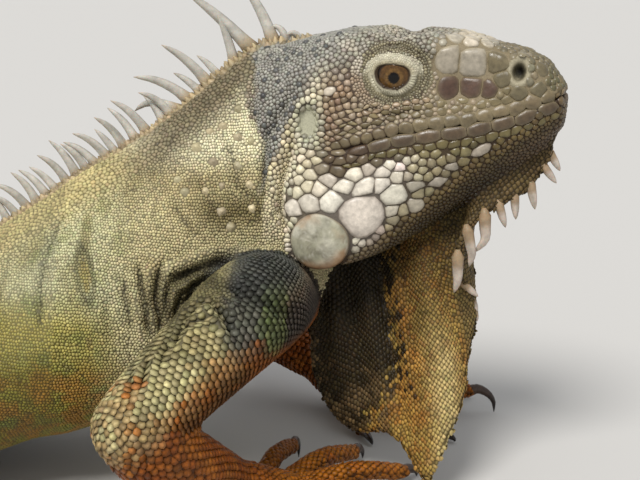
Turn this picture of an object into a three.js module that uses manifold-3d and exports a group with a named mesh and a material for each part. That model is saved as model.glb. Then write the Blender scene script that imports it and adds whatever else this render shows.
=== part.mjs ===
// A life-size model of a large adult male green iguana at rest: belly and tail on the floor, chest
// raised on bent forelimbs, head up and turned a little to its right, dewlap hanging in two folds.
// Millimetres. +X is the way the body faces, +Y its left, +Z up. The origin lies on the floor under
// the belly, in the middle of the belly's flat. Everything that touches the floor is cut flat at Z = 0.
import * as THREE from "three";
import { mergeVertices } from "three/addons/utils/BufferGeometryUtils.js";
import Module from "manifold-3d";

const wasm = await Module();
wasm.setup();

// ---- Driving dimensions --------------------------------------------------------------------------
const GAP = 0.3; // between two pieces that touch
const HEAD_AT = [230, -3]; // plan position of the head's middle, level with the eyes
const HEAD_TURN = (-17 * Math.PI) / 180; // yaw of the head, to the animal's right
const SUNK = 4; // how far the belly would reach below the floor if the floor did not flatten it
const TAIL_LENGTH = 800;
const TAIL_HALF_WIDTH = 27; // past the swelling at its base
const TAIL_TIP_HALF_WIDTH = 1.6;
const TAIL_SWING = (60 * Math.PI) / 180; // largest angle between the tail and the body's axis
const TAIL_HEIGHT_RATIO = 2.12; // height over half width
const TAIL_SUNK = 0.095; // as SUNK, as a share of the tail's height
const SPINE_STEP = 9.5; // spacing of the crest's spines along the back
const SPINE_LEAN = 0.12; // from the back's normal, toward the tail
const SPINE_CURL = 0.35;
const SPINE_TIP = 0.35; // half width at the point
const EYE = { forward: 0, side: 13, up: 145.2, radius: 9 };
const LID_RADIUS = 10.4;
const SHIELD = { forward: -21.9, side: 31.6, up: 89.4, radius: 10.2, thick: 2.6 };
const EAR = { forward: -29.5, up: 129.4, wide: 4.2, tall: 6.5, deep: 22.5 };
const NOSTRIL = { forward: 40.5, up: 146.6, radius: 2.1 };
const DEWLAP_THICK = 3.2;

// Stations of the torso, front to back: the dorsal and the ventral point of each slanted section in
// the body's middle plane, as [x, z], with half width, side offset and the height share of the widest point.
const TORSO = [
  { dorsal: [203, 150], ventral: [214, 86], half: 17, side: 4, widest: 0.5 },
  { dorsal: [191, 154.5], ventral: [205, 72], half: 21, side: 6, widest: 0.48 },
  { dorsal: [177, 152], ventral: [198, 58], half: 26, side: 7, widest: 0.45 },
  { dorsal: [164, 142.5], ventral: [189, 47], half: 31, side: 6, widest: 0.43 },
  { dorsal: [149, 130], ventral: [176, 38], half: 38, side: 3, widest: 0.42 },
  { dorsal: [133, 119], ventral: [159, 31], half: 43, side: 1, widest: 0.42 },
  { dorsal: [117, 109.5], ventral: [140, 25], half: 46.5, side: 0, widest: 0.42 },
  { dorsal: [101, 99], ventral: [120, 19.5], half: 49, side: 0, widest: 0.42 },
  { dorsal: [86, 89.5], ventral: [99, 15], half: 51, side: 0, widest: 0.42 },
  { dorsal: [70, 83], ventral: [77, 8.5], half: 53, side: 0, widest: 0.42 },
  { dorsal: [45, 79.5], ventral: [47, 0], half: 55, side: 0, widest: 0.42 },
  { dorsal: [10, 78], ventral: [10, -SUNK], half: 55.5, side: 0, widest: 0.43 },
  { dorsal: [-30, 76.5], ventral: [-30, -SUNK], half: 53, side: 0, widest: 0.43 },
  { dorsal: [-62, 73], ventral: [-62, -SUNK], half: 47, side: 0, widest: 0.45 },
  { dorsal: [-92, 66], ventral: [-92, -SUNK], half: 40, side: 0, widest: 0.47 },
  { dorsal: [-115, 60], ventral: [-115, -SUNK], half: 33, side: 0, widest: 0.48 },
];
const TORSO_END = TORSO.length - 1;
const NECK_END = 4.45; // in station numbers

// Stations of the head, back to front, in its own frame: forward distance s from the eyes, then
// [half width, height] of the brow's edge, the eye level, the upper lip, the jaw's side and its
// lower edge, with the heights of the crown and of the throat on the middle line.
const HEAD = [
  { s: -54, crown: 149, brow: [12, 147], eye: [22, 134], lip: [23, 119], jaw: [22, 106], low: [14, 95], throat: 99 },
  { s: -41, crown: 153.5, brow: [13, 151.5], eye: [24.5, 138], lip: [27.5, 119], jaw: [28.5, 101], low: [21, 87], throat: 95 },
  { s: -28, crown: 157, brow: [12.5, 155.8], eye: [24.5, 144], lip: [28, 121], jaw: [32, 97], low: [26, 79.5], throat: 91 },
  { s: -14, crown: 158.2, brow: [12.5, 158], eye: [21.5, 148], lip: [27.5, 121.5], jaw: [31.8, 100], low: [25, 80.5], throat: 90 },
  { s: 0, crown: 156.6, brow: [14.5, 159], eye: [18.5, 149], lip: [24.5, 125.6], jaw: [27, 108], low: [20, 86], throat: 91 },
  { s: 13, crown: 157.2, brow: [13.5, 157.8], eye: [16.5, 148], lip: [21.8, 127.6], jaw: [23, 113], low: [15, 95.5], throat: 96 },
  { s: 27, crown: 157, brow: [9.8, 155.4], eye: [13, 147.5], lip: [18, 129.8], jaw: [18, 118.5], low: [11, 106], throat: 104.5 },
  { s: 40, crown: 154, brow: [7.4, 152.3], eye: [11.4, 146.5], lip: [14, 132.8], jaw: [13.4, 124.6], low: [8, 116], throat: 114 },
  { s: 48.5, crown: 149.8, brow: [5.6, 148.4], eye: [9.2, 144], lip: [10.6, 135.8], jaw: [10, 129.5], low: [6.2, 122.4], throat: 120.5 },
  { s: 53, crown: 144, brow: [3.4, 143.2], eye: [5.8, 140.5], lip: [6.8, 137], jaw: [6.6, 132], low: [4.2, 127], throat: 126 },
];
const MOUTH = [[-18, 119.6], [-9, 122.6], [0, 125.4], [10, 127.4], [26, 129.6], [40, 133], [49, 136], [54, 138.6]];

// Limbs: joints of the centre line with radii, shoulder or hip first.
const ARM_RIGHT = {
  upper: [[186, -10, 64, 14], [178, -44, 71, 17.5], [160, -71, 60, 15], [143, -92, 48, 12.8]],
  fore: [[143, -92, 48, 12.8], [151, -85, 37, 13], [162, -71, 25, 11], [171, -61, 17.5, 8.2]],
  palm: [[171, -61, 17.5, 8.2], [180, -54, 10.5, 9], [188, -49, 7, 8.4], [192, -47, 6.2, 6.5]],
  digits: [
    [[179, -46, 8.5, 4], [184, -26, 11.5, 3.5], [190, -7, 8, 3]],
    [[187, -45, 8.5, 4.2], [200, -26, 10.5, 3.7], [212, -7, 5.5, 3.1]],
    [[190, -47, 8, 4.2], [211, -36, 10, 3.8], [229, -22, 4.2, 3.1]],
    [[192, -51, 8, 4.2], [209, -50, 9.5, 3.8], [223, -47, 2.8, 3]],
    [[186, -57, 7, 4], [198, -65, 8, 3.5], [208, -73, 2.6, 2.9]],
  ],
};
const ARM_LEFT = {
  upper: [[186, 18, 64, 14], [180, 46, 70, 17.5], [166, 67, 58, 15], [152, 84, 47, 12.8]],
  fore: [[152, 84, 47, 12.8], [165, 80, 37, 13], [183, 70, 26, 11], [199, 59, 17.5, 8.2]],
  palm: [[199, 59, 17.5, 8.2], [209, 54, 10.5, 9], [217, 49, 7, 8.4], [221, 47, 6.2, 6.5]],
  digits: [
    [[208, 46, 8, 4], [212, 33, 9.5, 3.5], [216, 22, 2.8, 2.9]],
    [[217, 44, 8, 4.2], [231, 32, 9.5, 3.7], [243, 22, 2.8, 3]],
    [[220, 47, 8, 4.2], [240, 46, 10.5, 3.8], [259, 46.5, 9.5, 3.2]],
    [[221, 52, 8, 4.2], [238, 56, 9.5, 3.8], [252, 61, 2.8, 3]],
    [[215, 58, 7, 4], [225, 68, 8, 3.5], [233, 78, 2.6, 2.9]],
  ],
};
const LEG = {
  upper: [[-82, 4, 30, 20], [-72, 32, 39, 24], [-50, 60, 42, 20], [-26, 82, 38, 13.5]],
  fore: [[-26, 82, 38, 13.5], [-46, 88, 31, 14.5], [-75, 95, 20, 10.5], [-100, 99, 12.5, 7.5]],
  palm: [[-100, 99, 12.5, 7.5], [-89, 107, 8, 8], [-77, 113, 6.6, 8.8], [-68, 117, 6, 7]],
  digits: [
    [[-78, 108, 7, 4], [-68, 104, 7.8, 3.5], [-59, 101, 2.6, 2.9]],
    [[-71, 111, 7, 4.2], [-55, 109, 8.6, 3.7], [-42, 108, 2.8, 3]],
    [[-70, 116, 7, 4.3], [-47, 117, 9.2, 3.8], [-27, 119, 2.8, 3]],
    [[-72, 120, 7, 4.3], [-46, 128, 9.4, 3.8], [-20, 137, 2.8, 3]],
    [[-90, 115, 6.6, 4.2], [-81, 129, 8, 3.6], [-73, 142, 2.6, 2.9]],
  ],
};

const skinTones = {
  head: [0.55, 0.5, 0.42],
  jaw: [0.72, 0.68, 0.6],
  neck: [0.47, 0.42, 0.3],
  trunk: [0.56, 0.53, 0.37],
  limb: [0.6, 0.36, 0.15],
  tail: [0.42, 0.38, 0.26],
  dewlap: [0.55, 0.4, 0.2],
};

// ---- Shapes --------------------------------------------------------------------------------------
const lerp = (a, b, t) => a + (b - a) * t;

// Catmull-Rom value of the numbers in `list` at fractional index `u`.
function through(list, u) {
  const last = list.length - 1;
  const i = Math.min(Math.max(Math.floor(u), 0), last - 1);
  const t = u - i;
  const [p, a, b, n] = [list[Math.max(i - 1, 0)], list[i], list[i + 1], list[Math.min(i + 2, last)]];
  const left = i > 0 ? (b - p) / 2 : b - a;
  const right = i + 1 < last ? (n - a) / 2 : b - a;
  const t2 = t * t;
  const t3 = t2 * t;
  return (2 * t3 - 3 * t2 + 1) * a + (t3 - 2 * t2 + t) * left + (3 * t2 - 2 * t3) * b + (t3 - t2) * right;
}

const points = (list, u) => list[0].map((_, k) => through(list.map((row) => row[k]), u));

// A closed solid over rings of equal length, the ends fanned; nothing goes below the floor.
function loft(rings) {
  const around = rings[0].length;
  const index = [];
  for (let i = 0; i + 1 < rings.length; i++) {
    for (let j = 0; j < around; j++) {
      const a = i * around + j;
      const b = i * around + ((j + 1) % around);
      index.push(a, b, a + around, b, b + around, a + around);
    }
  }
  const last = (rings.length - 1) * around;
  for (let j = 1; j + 1 < around; j++) {
    index.push(0, j + 1, j, last, last + j, last + j + 1);
  }
  const geometry = new THREE.BufferGeometry();
  const corners = rings.flat().map(([x, y, z]) => [x, y, Math.max(z, 0)]);
  geometry.setAttribute("position", new THREE.Float32BufferAttribute(corners.flat(), 3));
  geometry.setIndex(index);
  return solid(geometry);
}

function solid(geometry) {
  const bare = new THREE.BufferGeometry();
  bare.setAttribute("position", geometry.getAttribute("position"));
  if (geometry.index) bare.setIndex(geometry.index);
  const merged = mergeVertices(bare, 1e-4);
  const made = new wasm.Manifold(
    new wasm.Mesh({
      numProp: 3,
      vertProperties: new Float32Array(merged.attributes.position.array),
      triVerts: new Uint32Array(merged.index.array),
    }),
  );
  return made.volume() < 0 ? flipped(merged) : made;
}

function flipped(geometry) {
  const tri = new Uint32Array(geometry.index.array);
  for (let i = 0; i < tri.length; i += 3) [tri[i + 1], tri[i + 2]] = [tri[i + 2], tri[i + 1]];
  const vertProperties = new Float32Array(geometry.attributes.position.array);
  return new wasm.Manifold(new wasm.Mesh({ numProp: 3, vertProperties, triVerts: tri }));
}

const mirrored = (list) => list.map(([x, y, z, r]) => [x, -y, z, r]);

// One cross-section of the torso or tail: a superellipse, narrower at the crest and flatter below.
function bodyRing({ dorsal, ventral, half, widest }, sides, grow, crestPower = 1.75, bellyPower = 2.5) {
  const span = Math.hypot(...dorsal.map((v, k) => v - ventral[k]));
  const up = dorsal.map((v, k) => (v - ventral[k]) / span);
  const level = widest * span;
  return Array.from({ length: sides }, (_, j) => {
    const angle = Math.PI / 2 + (2 * Math.PI * j) / sides;
    const [c, s] = [Math.cos(angle), Math.sin(angle)];
    const power = s > 0 ? crestPower : bellyPower;
    const out = Math.sign(c) * Math.abs(c) ** (2 / power) * (half + grow);
    const reach = s > 0 ? span - level + grow : level + grow;
    const rise = level + Math.sign(s) * Math.abs(s) ** (2 / power) * reach;
    return { out, at: ventral.map((v, k) => v + up[k] * rise) };
  });
}

function torsoSection(u) {
  const at = (get) => through(TORSO.map(get), u);
  return {
    dorsal: [at((t) => t.dorsal[0]), at((t) => t.side), at((t) => t.dorsal[1])],
    ventral: [at((t) => t.ventral[0]), at((t) => t.side), at((t) => t.ventral[1])],
    half: at((t) => t.half),
    widest: at((t) => t.widest),
  };
}

function torso(from, to, rings, sides = 18, grow = 0) {
  return loft(
    Array.from({ length: rings }, (_, i) =>
      bodyRing(torsoSection(lerp(from, to, i / (rings - 1))), sides, grow).map(({ out, at }) => [
        at[0],
        at[1] + out,
        at[2],
      ]),
    ),
  );
}

// The tail's middle line on the floor: an open S, in plan, that starts along the body's axis.
const TAIL_STEPS = 200;
const tailLine = [[TORSO[TORSO_END].dorsal[0], 0]];
const tailHeading = (t) => TAIL_SWING * Math.sin(2 * Math.PI * t * 0.92) * Math.min(1, t * 5);
for (let i = 0; i < TAIL_STEPS; i++) {
  const turn = tailHeading((i + 0.5) / TAIL_STEPS);
  const [x, y] = tailLine[i];
  const step = TAIL_LENGTH / TAIL_STEPS;
  tailLine.push([x - step * Math.cos(turn), y + step * Math.sin(turn)]);
}

function tailSection(t) {
  const [x, y] = points(tailLine, t * TAIL_STEPS);
  const taper = (1 - t) ** 1.25;
  const swelling = Math.exp(-t * 30);
  const half = lerp(TAIL_TIP_HALF_WIDTH, TAIL_HALF_WIDTH + 6 * swelling, taper);
  const height = half * (TAIL_HEIGHT_RATIO - 0.3 * swelling);
  return { dorsal: [x, y, height], ventral: [x, y, -TAIL_SUNK * height], half, widest: 0.5, turn: tailHeading(t) };
}

function tail(from, to, rings, sides = 12, grow = 0) {
  return loft(
    Array.from({ length: rings }, (_, i) => {
      const section = tailSection(lerp(from, to, i / (rings - 1)));
      return bodyRing(section, sides, grow, 2, 2.2).map(({ out, at }) => [
        at[0] + out * Math.sin(section.turn),
        at[1] + out * Math.cos(section.turn),
        at[2],
      ]);
    }),
  );
}

// ---- Head ----------------------------------------------------------------------------------------
// From the head's own frame (forward, left, up) to the part's frame.
function headPoint([s, l, z]) {
  const [c, n] = [Math.cos(HEAD_TURN), Math.sin(HEAD_TURN)];
  return [HEAD_AT[0] + s * c - l * n, HEAD_AT[1] + s * n + l * c, z];
}

function headStationAt(s) {
  let i = 0;
  while (i < HEAD.length - 2 && HEAD[i + 1].s < s) i++;
  return i + (s - HEAD[i].s) / (HEAD[i + 1].s - HEAD[i].s);
}

function headHalf(s) {
  const u = headStationAt(s);
  const at = (get) => through(HEAD.map(get), u);
  const pair = (name) => [at((h) => h[name][0]), at((h) => h[name][1])];
  const sides = ["brow", "eye", "lip", "jaw", "low"].map(pair);
  return [[0, at((h) => h.crown)], ...sides, [0, at((h) => h.throat)]];
}

function headRing(s, perSide, grow) {
  const half = headHalf(s);
  const closed = [...half, ...half.slice(1, -1).reverse().map(([w, z]) => [-w, z])];
  const curve = new THREE.CatmullRomCurve3(
    closed.map(([w, z]) => new THREE.Vector3(w, z, 0)),
    true,
    "catmullrom",
    0.5,
  );
  const middle = (half[0][1] + half[half.length - 1][1]) / 2;
  return Array.from({ length: 2 * perSide }, (_, j) => {
    const p = curve.getPoint(j / (2 * perSide));
    const away = Math.hypot(p.x, p.y - middle);
    const more = 1 + grow / away;
    return headPoint([s, p.x * more, middle + (p.y - middle) * more]);
  });
}

function headLoft(grow = 0) {
  const stops = [-50, -40, -30, -20, -10, 0, 10, 20, 30, 39, 46, 51, 53.6];
  const rings = stops.map((s) => headRing(s + (s > 50 ? grow : 0), 9, grow));
  const tip = headRing(53, 9, 0);
  const noseMiddle = headPoint([54.8 + grow, 0, 135]);
  rings.push(tip.map((p) => p.map((v, k) => lerp(v, noseMiddle[k], 0.55) + (k === 0 ? 1.2 : 0))));
  return loft(rings);
}

// A prism over an outline in the head's own side view, through the whole head.
function headPrism(outline, halfDepth = 60) {
  const shape = new THREE.Shape(outline.map(([s, z]) => new THREE.Vector2(s, z)));
  const geometry = new THREE.ExtrudeGeometry(shape, { depth: 2 * halfDepth, bevelEnabled: false });
  geometry.translate(0, 0, -halfDepth);
  geometry.rotateX(Math.PI / 2);
  geometry.rotateZ(HEAD_TURN);
  geometry.translate(HEAD_AT[0], HEAD_AT[1], 0);
  return solid(geometry);
}

// Everything below the mouth's line, which runs on from its corner to the hinge below the ear.
function belowMouth(drop) {
  const line = [[-30, 114], ...MOUTH, [60, 141]].map(([s, z]) => [s, z - drop]);
  return headPrism([[-30, 60], ...line, [60, 60]]);
}

function headBall(at, radius, across = 10, down = 6, squash = [1, 1, 1]) {
  const ball = new THREE.SphereGeometry(radius, across, down);
  ball.rotateX(Math.PI / 2);
  ball.scale(...squash);
  ball.rotateZ(HEAD_TURN);
  ball.translate(...headPoint(at));
  return solid(ball);
}

// A disc or plug that lies across the head's side, its axis along the head's left.
function headPlug(at, wide, tall, deep, sides = 10) {
  const plug = new THREE.CylinderGeometry(1, 1, deep, sides);
  plug.scale(wide, 1, tall);
  plug.rotateZ(HEAD_TURN);
  plug.translate(...headPoint(at));
  return solid(plug);
}

const eyeAt = (side, extra = 0) => [EYE.forward, side * (EYE.side + extra), EYE.up];

// ---- Crest ---------------------------------------------------------------------------------------
// A soft flat spine, rooted in the back, that leans and curls backward a little.
function spine(root, along, normal, length, width) {
  const lean = (angle) => normal.map((v, k) => v * Math.cos(angle) + along[k] * Math.sin(angle));
  const across = new THREE.Vector3(...along).cross(new THREE.Vector3(...normal)).toArray();
  const step = (from, dir, by) => from.map((v, k) => v + dir[k] * by);
  const ring = (at, long, thick) => [
    step(at, along, -long),
    step(at, across, -thick),
    step(at, along, long),
    step(at, across, thick),
  ];
  const middle = step(root, lean(SPINE_LEAN), length * 0.5);
  const tip = step(middle, lean(SPINE_LEAN + SPINE_CURL), length * 0.5);
  return loft([
    ring(step(root, normal, -2), width * 0.56, width * 0.4),
    ring(middle, width * 0.34, width * 0.22),
    ring(tip, SPINE_TIP, SPINE_TIP),
  ]);
}

// Lengths vary from one spine to the next, as they do on an old male.
const uneven = (i) => [1, 0.62, 0.94, 1.08, 0.72, 1.02, 0.85][i % 7];

function backLength(x) {
  const stops = [[-115, 7.5], [-60, 10], [0, 12.5], [60, 14], [100, 16], [130, 19], [150, 24], [170, 36], [185, 33], [193, 12], [200, 7]];
  let i = 0;
  while (i < stops.length - 2 && stops[i + 1][0] < x) i++;
  return lerp(stops[i][1], stops[i + 1][1], (x - stops[i][0]) / (stops[i + 1][0] - stops[i][0]));
}

// Root points of the spines, evenly spaced along the back, each with its station number.
function backRoots() {
  const roots = [];
  const fine = 2400;
  let walked = 0;
  let before = null;
  for (let i = 0; i <= fine; i++) {
    const u = lerp(0.75, TORSO_END, i / fine);
    const [x, y, z] = torsoSection(u).dorsal;
    if (before) walked += Math.hypot(x - before[0], y - before[1], z - before[2]);
    if (!before || walked >= SPINE_STEP) {
      roots.push({ u, at: [x, y, z] });
      walked = 0;
    }
    before = [x, y, z];
  }
  return roots;
}

function backSpines(from, to) {
  return backRoots()
    .map((root, i) => ({ ...root, i }))
    .filter(({ u }) => u > from && u < to)
    .map(({ u, at, i }) => {
      const ahead = torsoSection(Math.max(u - 0.1, 0)).dorsal;
      const behind = torsoSection(Math.min(u + 0.1, TORSO_END)).dorsal;
      const along = new THREE.Vector3(...behind).sub(new THREE.Vector3(...ahead)).normalize();
      const normal = new THREE.Vector3(0, 0, 1).addScaledVector(along, -along.z).normalize();
      const length = backLength(at[0]) * uneven(i);
      return spine(at, along.toArray(), normal.toArray(), length, 2.2 + length * 0.075);
    });
}

function tailSpines(from, to) {
  const made = [];
  const last = 0.5;
  const count = 18;
  for (let i = 0; i < count; i++) {
    const t = lerp(0.008, last, i / count);
    if (t <= from + 0.004 || t >= to - 0.004) continue;
    const { dorsal, turn } = tailSection(t);
    const along = [-Math.cos(turn), Math.sin(turn), 0];
    made.push(spine(dorsal, along, [0, 0, 1], lerp(7.4, 3, t / last) * uneven(i), 2.3));
  }
  return made;
}

const joined = (first, more) => more.reduce((sum, next) => sum.add(next), first);

// ---- Limbs ---------------------------------------------------------------------------------------
// Frames along a smooth line through joints given as [x, y, z, radius], turned as little as possible.
function frames(joints, count) {
  const made = [];
  let side = null;
  for (let i = 0; i < count; i++) {
    const u = ((joints.length - 1) * i) / (count - 1);
    const [x, y, z, radius] = points(joints, u);
    const ahead = points(joints, Math.min(u + 0.02, joints.length - 1));
    const behind = points(joints, Math.max(u - 0.02, 0));
    const dir = new THREE.Vector3(...[0, 1, 2].map((k) => ahead[k] - behind[k])).normalize();
    const start = side ?? new THREE.Vector3(0, 0, 1).cross(dir);
    side = start.clone().addScaledVector(dir, -start.dot(dir)).normalize();
    made.push({ at: new THREE.Vector3(x, y, z), radius, dir, side, up: dir.clone().cross(side) });
  }
  return made;
}

function circle({ at, side, up }, radius, sides) {
  return Array.from({ length: sides }, (_, j) => {
    const angle = (2 * Math.PI * (j + 0.5)) / sides;
    const p = at.clone().addScaledVector(side, radius * Math.cos(angle));
    return p.addScaledVector(up, radius * Math.sin(angle)).toArray();
  });
}

// A round tube of changing radius, with a domed end where `domed` says so: [first, last].
function tube(joints, count, sides, grow = 0, domed = [false, false]) {
  const line = frames(joints, count);
  const rings = line.map((frame) => circle(frame, frame.radius + grow, sides));
  const dome = (frame, sign) =>
    [0.5, 0.85].map((share) => {
      const radius = frame.radius + grow;
      const at = frame.at.clone().addScaledVector(frame.dir, sign * share * radius);
      return circle({ ...frame, at }, radius * Math.sqrt(1 - share * share), sides);
    });
  const before = domed[0] ? dome(line[0], -1).reverse() : [];
  const after = domed[1] ? dome(line[line.length - 1], 1) : [];
  return loft([...before, ...rings, ...after]);
}

// A block that fills the side of a joint's mitre plane to which `sign` points.
function beyondJoint(before, after, sign) {
  const size = 260;
  const end = frames(before, 9)[8];
  const start = frames(after, 9)[0];
  const normal = end.dir.clone().add(start.dir).normalize().multiplyScalar(sign);
  const block = new THREE.BoxGeometry(size, size, size);
  const turn = new THREE.Quaternion().setFromUnitVectors(new THREE.Vector3(0, 0, 1), normal);
  block.applyQuaternion(turn);
  block.translate(...end.at.clone().addScaledVector(normal, size / 2 - GAP / 2).toArray());
  return solid(block);
}

// A hooked claw that starts just past the end of its digit and reaches down to the floor.
function claw(digit, length) {
  const end = frames(digit, 9)[8];
  const radius = end.radius * 0.75;
  const level = new THREE.Vector3(end.dir.x, end.dir.y, 0).normalize();
  const start = end.at.clone().addScaledVector(end.dir, GAP);
  const rim = circle({ ...end, at: start }, radius, 5);
  const middle = start.clone().addScaledVector(level, length * 0.55);
  middle.z = Math.max(start.z * 0.97, start.z - 1);
  const tip = start.clone().addScaledVector(level, length);
  tip.z = 0.35;
  const across = level.clone().cross(new THREE.Vector3(0, 0, 1)).negate();
  const bent = level.clone().sub(new THREE.Vector3(0, 0, 1)).normalize();
  const ring = (at, dir, size) => circle({ at, side: across, up: dir.clone().cross(across) }, size, 5);
  return loft([rim, ring(middle, level, radius * 0.72), ring(tip, bent, 0.35)]);
}

// ---- Dewlap --------------------------------------------------------------------------------------
// Where it grows from the throat, chin first, and its free edge, from the chin down the front, round
// the two folds and up to the chest.
const DEWLAP_ROOT = [
  [280, -18, 124], [272, -16, 120], [262, -13, 114], [252, -10, 108], [243, -7, 103], [234, -4, 98],
  [226, -2, 96], [216, 0, 96], [207, 1, 92], [202, 0, 82], [199, 0, 70],
];
const DEWLAP_EDGE = [
  [279, -18, 118], [270, -19, 105], [255, -23, 97], [246.5, -25, 80], [254.5, -18, 61], [250, -27, 37],
  [236.5, -37, 7], [227, -27, 17], [215, -12, 15], [200, -6, 28], [197.5, -4, 56],
];

function dewlapSheet(u, v) {
  const root = points(DEWLAP_ROOT, u * (DEWLAP_ROOT.length - 1));
  const edge = points(DEWLAP_EDGE, u * (DEWLAP_EDGE.length - 1));
  return root.map((a, k) => lerp(a, edge[k], v));
}

function dewlap() {
  const [long, deep] = [18, 3];
  const near = 0.01;
  const rows = [];
  for (let i = 0; i <= long; i++) {
    const u = i / long;
    const front = [];
    const rear = [];
    for (let j = 0; j <= deep; j++) {
      const v = j / deep;
      const p = new THREE.Vector3(...dewlapSheet(u, v));
      const du = new THREE.Vector3(...dewlapSheet(Math.min(u + near, 1), v)).sub(
        new THREE.Vector3(...dewlapSheet(Math.max(u - near, 0), v)),
      );
      const dv = new THREE.Vector3(...dewlapSheet(u, 1)).sub(new THREE.Vector3(...dewlapSheet(u, 0)));
      const normal = du.cross(dv).normalize();
      const half = (DEWLAP_THICK / 2) * lerp(1.25, 0.75, v);
      front.push(p.clone().addScaledVector(normal, half).toArray());
      rear.push(p.clone().addScaledVector(normal, -half).toArray());
    }
    rows.push([...front, ...rear.reverse()]);
  }
  return loft(rows);
}

// Soft spikes along the front edge, from the chin down to the first fold.
function gularSpikes() {
  const made = [];
  const count = 8;
  for (let i = 0; i < count; i++) {
    const u = lerp(0.02, 0.3, i / (count - 1));
    const at = dewlapSheet(u, 0.97);
    const length = lerp(6, 13, Math.sin((Math.PI * (i + 1)) / (count + 1)) ** 0.8);
    const out = new THREE.Vector3(0.55, -0.12, -0.83).normalize();
    const curl = new THREE.Vector3(0.1, -0.05, -1).normalize();
    const start = new THREE.Vector3(...at).addScaledVector(out, -2);
    const middle = start.clone().addScaledVector(out, 2 + length * 0.5);
    const end = middle.clone().addScaledVector(curl, length * 0.5);
    made.push(tube([[...start, 2], [...middle, 1.3], [...end, 0.35]], 3, 4));
  }
  return made;
}

// ---- Assembly ------------------------------------------------------------------------------------
const group = new THREE.Group();

function place(name, body, tone, roughness = 0.7) {
  const { vertProperties, triVerts, numProp, numVert } = body.getMesh();
  const positions = new Float32Array(numVert * 3);
  for (let i = 0; i < numVert; i++) positions.set(vertProperties.subarray(i * numProp, i * numProp + 3), i * 3);
  const geometry = new THREE.BufferGeometry();
  geometry.setAttribute("position", new THREE.BufferAttribute(positions, 3));
  geometry.setIndex(new THREE.BufferAttribute(triVerts, 1));
  const colour = new THREE.Color().setRGB(...tone);
  const mesh = new THREE.Mesh(geometry, new THREE.MeshStandardMaterial({ color: colour, roughness, metalness: 0 }));
  mesh.name = name;
  group.add(mesh);
}

const largest = (body) => body.decompose().sort((a, b) => b.volume() - a.volume())[0];

const headGrown = headLoft(GAP);
const torsoGrown = torso(0, TORSO_END, 30, 18, GAP);
const tailGrown = tail(0, 0.25, 9, 12, GAP);

// Head and lower jaw, parted along the mouth.
let skull = headLoft();
let jaw = skull.intersect(belowMouth(0));
skull = skull.subtract(belowMouth(-GAP));
for (const side of [-1, 1]) {
  skull = skull.add(headBall(eyeAt(side), LID_RADIUS));
  skull = skull.subtract(headBall(eyeAt(side), EYE.radius + GAP));
  skull = skull.subtract(headBall(eyeAt(side, 9), 5.9, 8, 6, [1, 1.1, 0.78]));
  skull = skull.subtract(headPlug([NOSTRIL.forward, side * 12.5, NOSTRIL.up], NOSTRIL.radius, NOSTRIL.radius * 1.2, 7, 6));
  const socket = headPlug([EAR.forward, side * (EAR.deep + 4), EAR.up], EAR.wide + GAP, EAR.tall + GAP, 8);
  skull = skull.subtract(socket);
  const shieldAt = [SHIELD.forward, side * SHIELD.side, SHIELD.up];
  const seat = headBall(shieldAt, SHIELD.radius + GAP, 12, 5, [1, SHIELD.thick / SHIELD.radius, 1]);
  jaw = jaw.subtract(seat);
  skull = skull.subtract(seat);
}
place("head", largest(skull), skinTones.head);
place("lower_jaw", largest(jaw), skinTones.jaw);

for (const [name, side] of [["right", -1], ["left", 1]]) {
  place("eye_" + name, headBall(eyeAt(side), EYE.radius), [0.2, 0.11, 0.05], 0.1);
  const drum = headPlug([EAR.forward, side * (EAR.deep + 0.9), EAR.up], EAR.wide, EAR.tall, 1.2);
  place("eardrum_" + name, drum, [0.62, 0.66, 0.55]);
  const shieldAt = [SHIELD.forward, side * SHIELD.side, SHIELD.up];
  const shield = headBall(shieldAt, SHIELD.radius, 12, 5, [1, (SHIELD.thick - GAP) / SHIELD.radius, 1]);
  place("jowl_shield_" + name, shield, [0.74, 0.74, 0.7], 0.45);
}

// Neck, trunk and tail, each with its share of the crest.
const neck = joined(torso(0, NECK_END, 9), backSpines(0.5, NECK_END - 0.12)).subtract(headGrown);
place("neck", largest(neck), skinTones.neck);
const stationGap = GAP / 17; // the gap in station numbers, where sections are about 17 mm apart
const trunk = joined(torso(NECK_END + stationGap, TORSO_END, 16), backSpines(NECK_END + 0.2, TORSO_END - 0.12));
place("trunk", trunk, skinTones.trunk);
const tailCuts = [0.0005, 0.2, 0.42, 0.68, 1];
for (let i = 0; i + 1 < tailCuts.length; i++) {
  const from = tailCuts[i] + (i ? GAP / TAIL_LENGTH : 0);
  const length = joined(tail(from, tailCuts[i + 1], 8, i < 2 ? 12 : 10), tailSpines(from, tailCuts[i + 1]));
  place("tail_" + (i + 1), length, skinTones.tail);
}

// Dewlap, hung from the jaw, the throat and the chest.
const flap = joined(dewlap(), gularSpikes()).subtract(headGrown).subtract(torsoGrown);
place("dewlap", largest(flap), skinTones.dewlap);

// Limbs. Their parts meet at mitre planes, and give way to the torso.
function limb(prefix, { upper, fore, palm, digits }, names, clawLength) {
  const upperPart = tube(upper, 6, 10, 0, [false, true]).subtract(beyondJoint(upper, fore, 1));
  const forePart = tube(fore, 5, 10, 0, [true, true])
    .subtract(beyondJoint(upper, fore, -1))
    .subtract(beyondJoint(fore, palm, 1));
  const wrist = tube(palm, 4, 8, 0, [true, false]).subtract(beyondJoint(fore, palm, -1));
  const foreGrown = tube(fore, 5, 10, GAP);
  const paw = joined(wrist, digits.map((digit) => tube(digit, 4, 5).subtract(foreGrown)));
  const parts = [upperPart, forePart, paw];
  parts.forEach((part, i) => {
    place(prefix + names[i], largest(part.subtract(torsoGrown)), skinTones.limb);
  });
  digits.forEach((digit, i) => {
    place(prefix + "claw_" + (i + 1), claw(digit, clawLength), [0.1, 0.07, 0.05], 0.35);
  });
}

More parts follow.
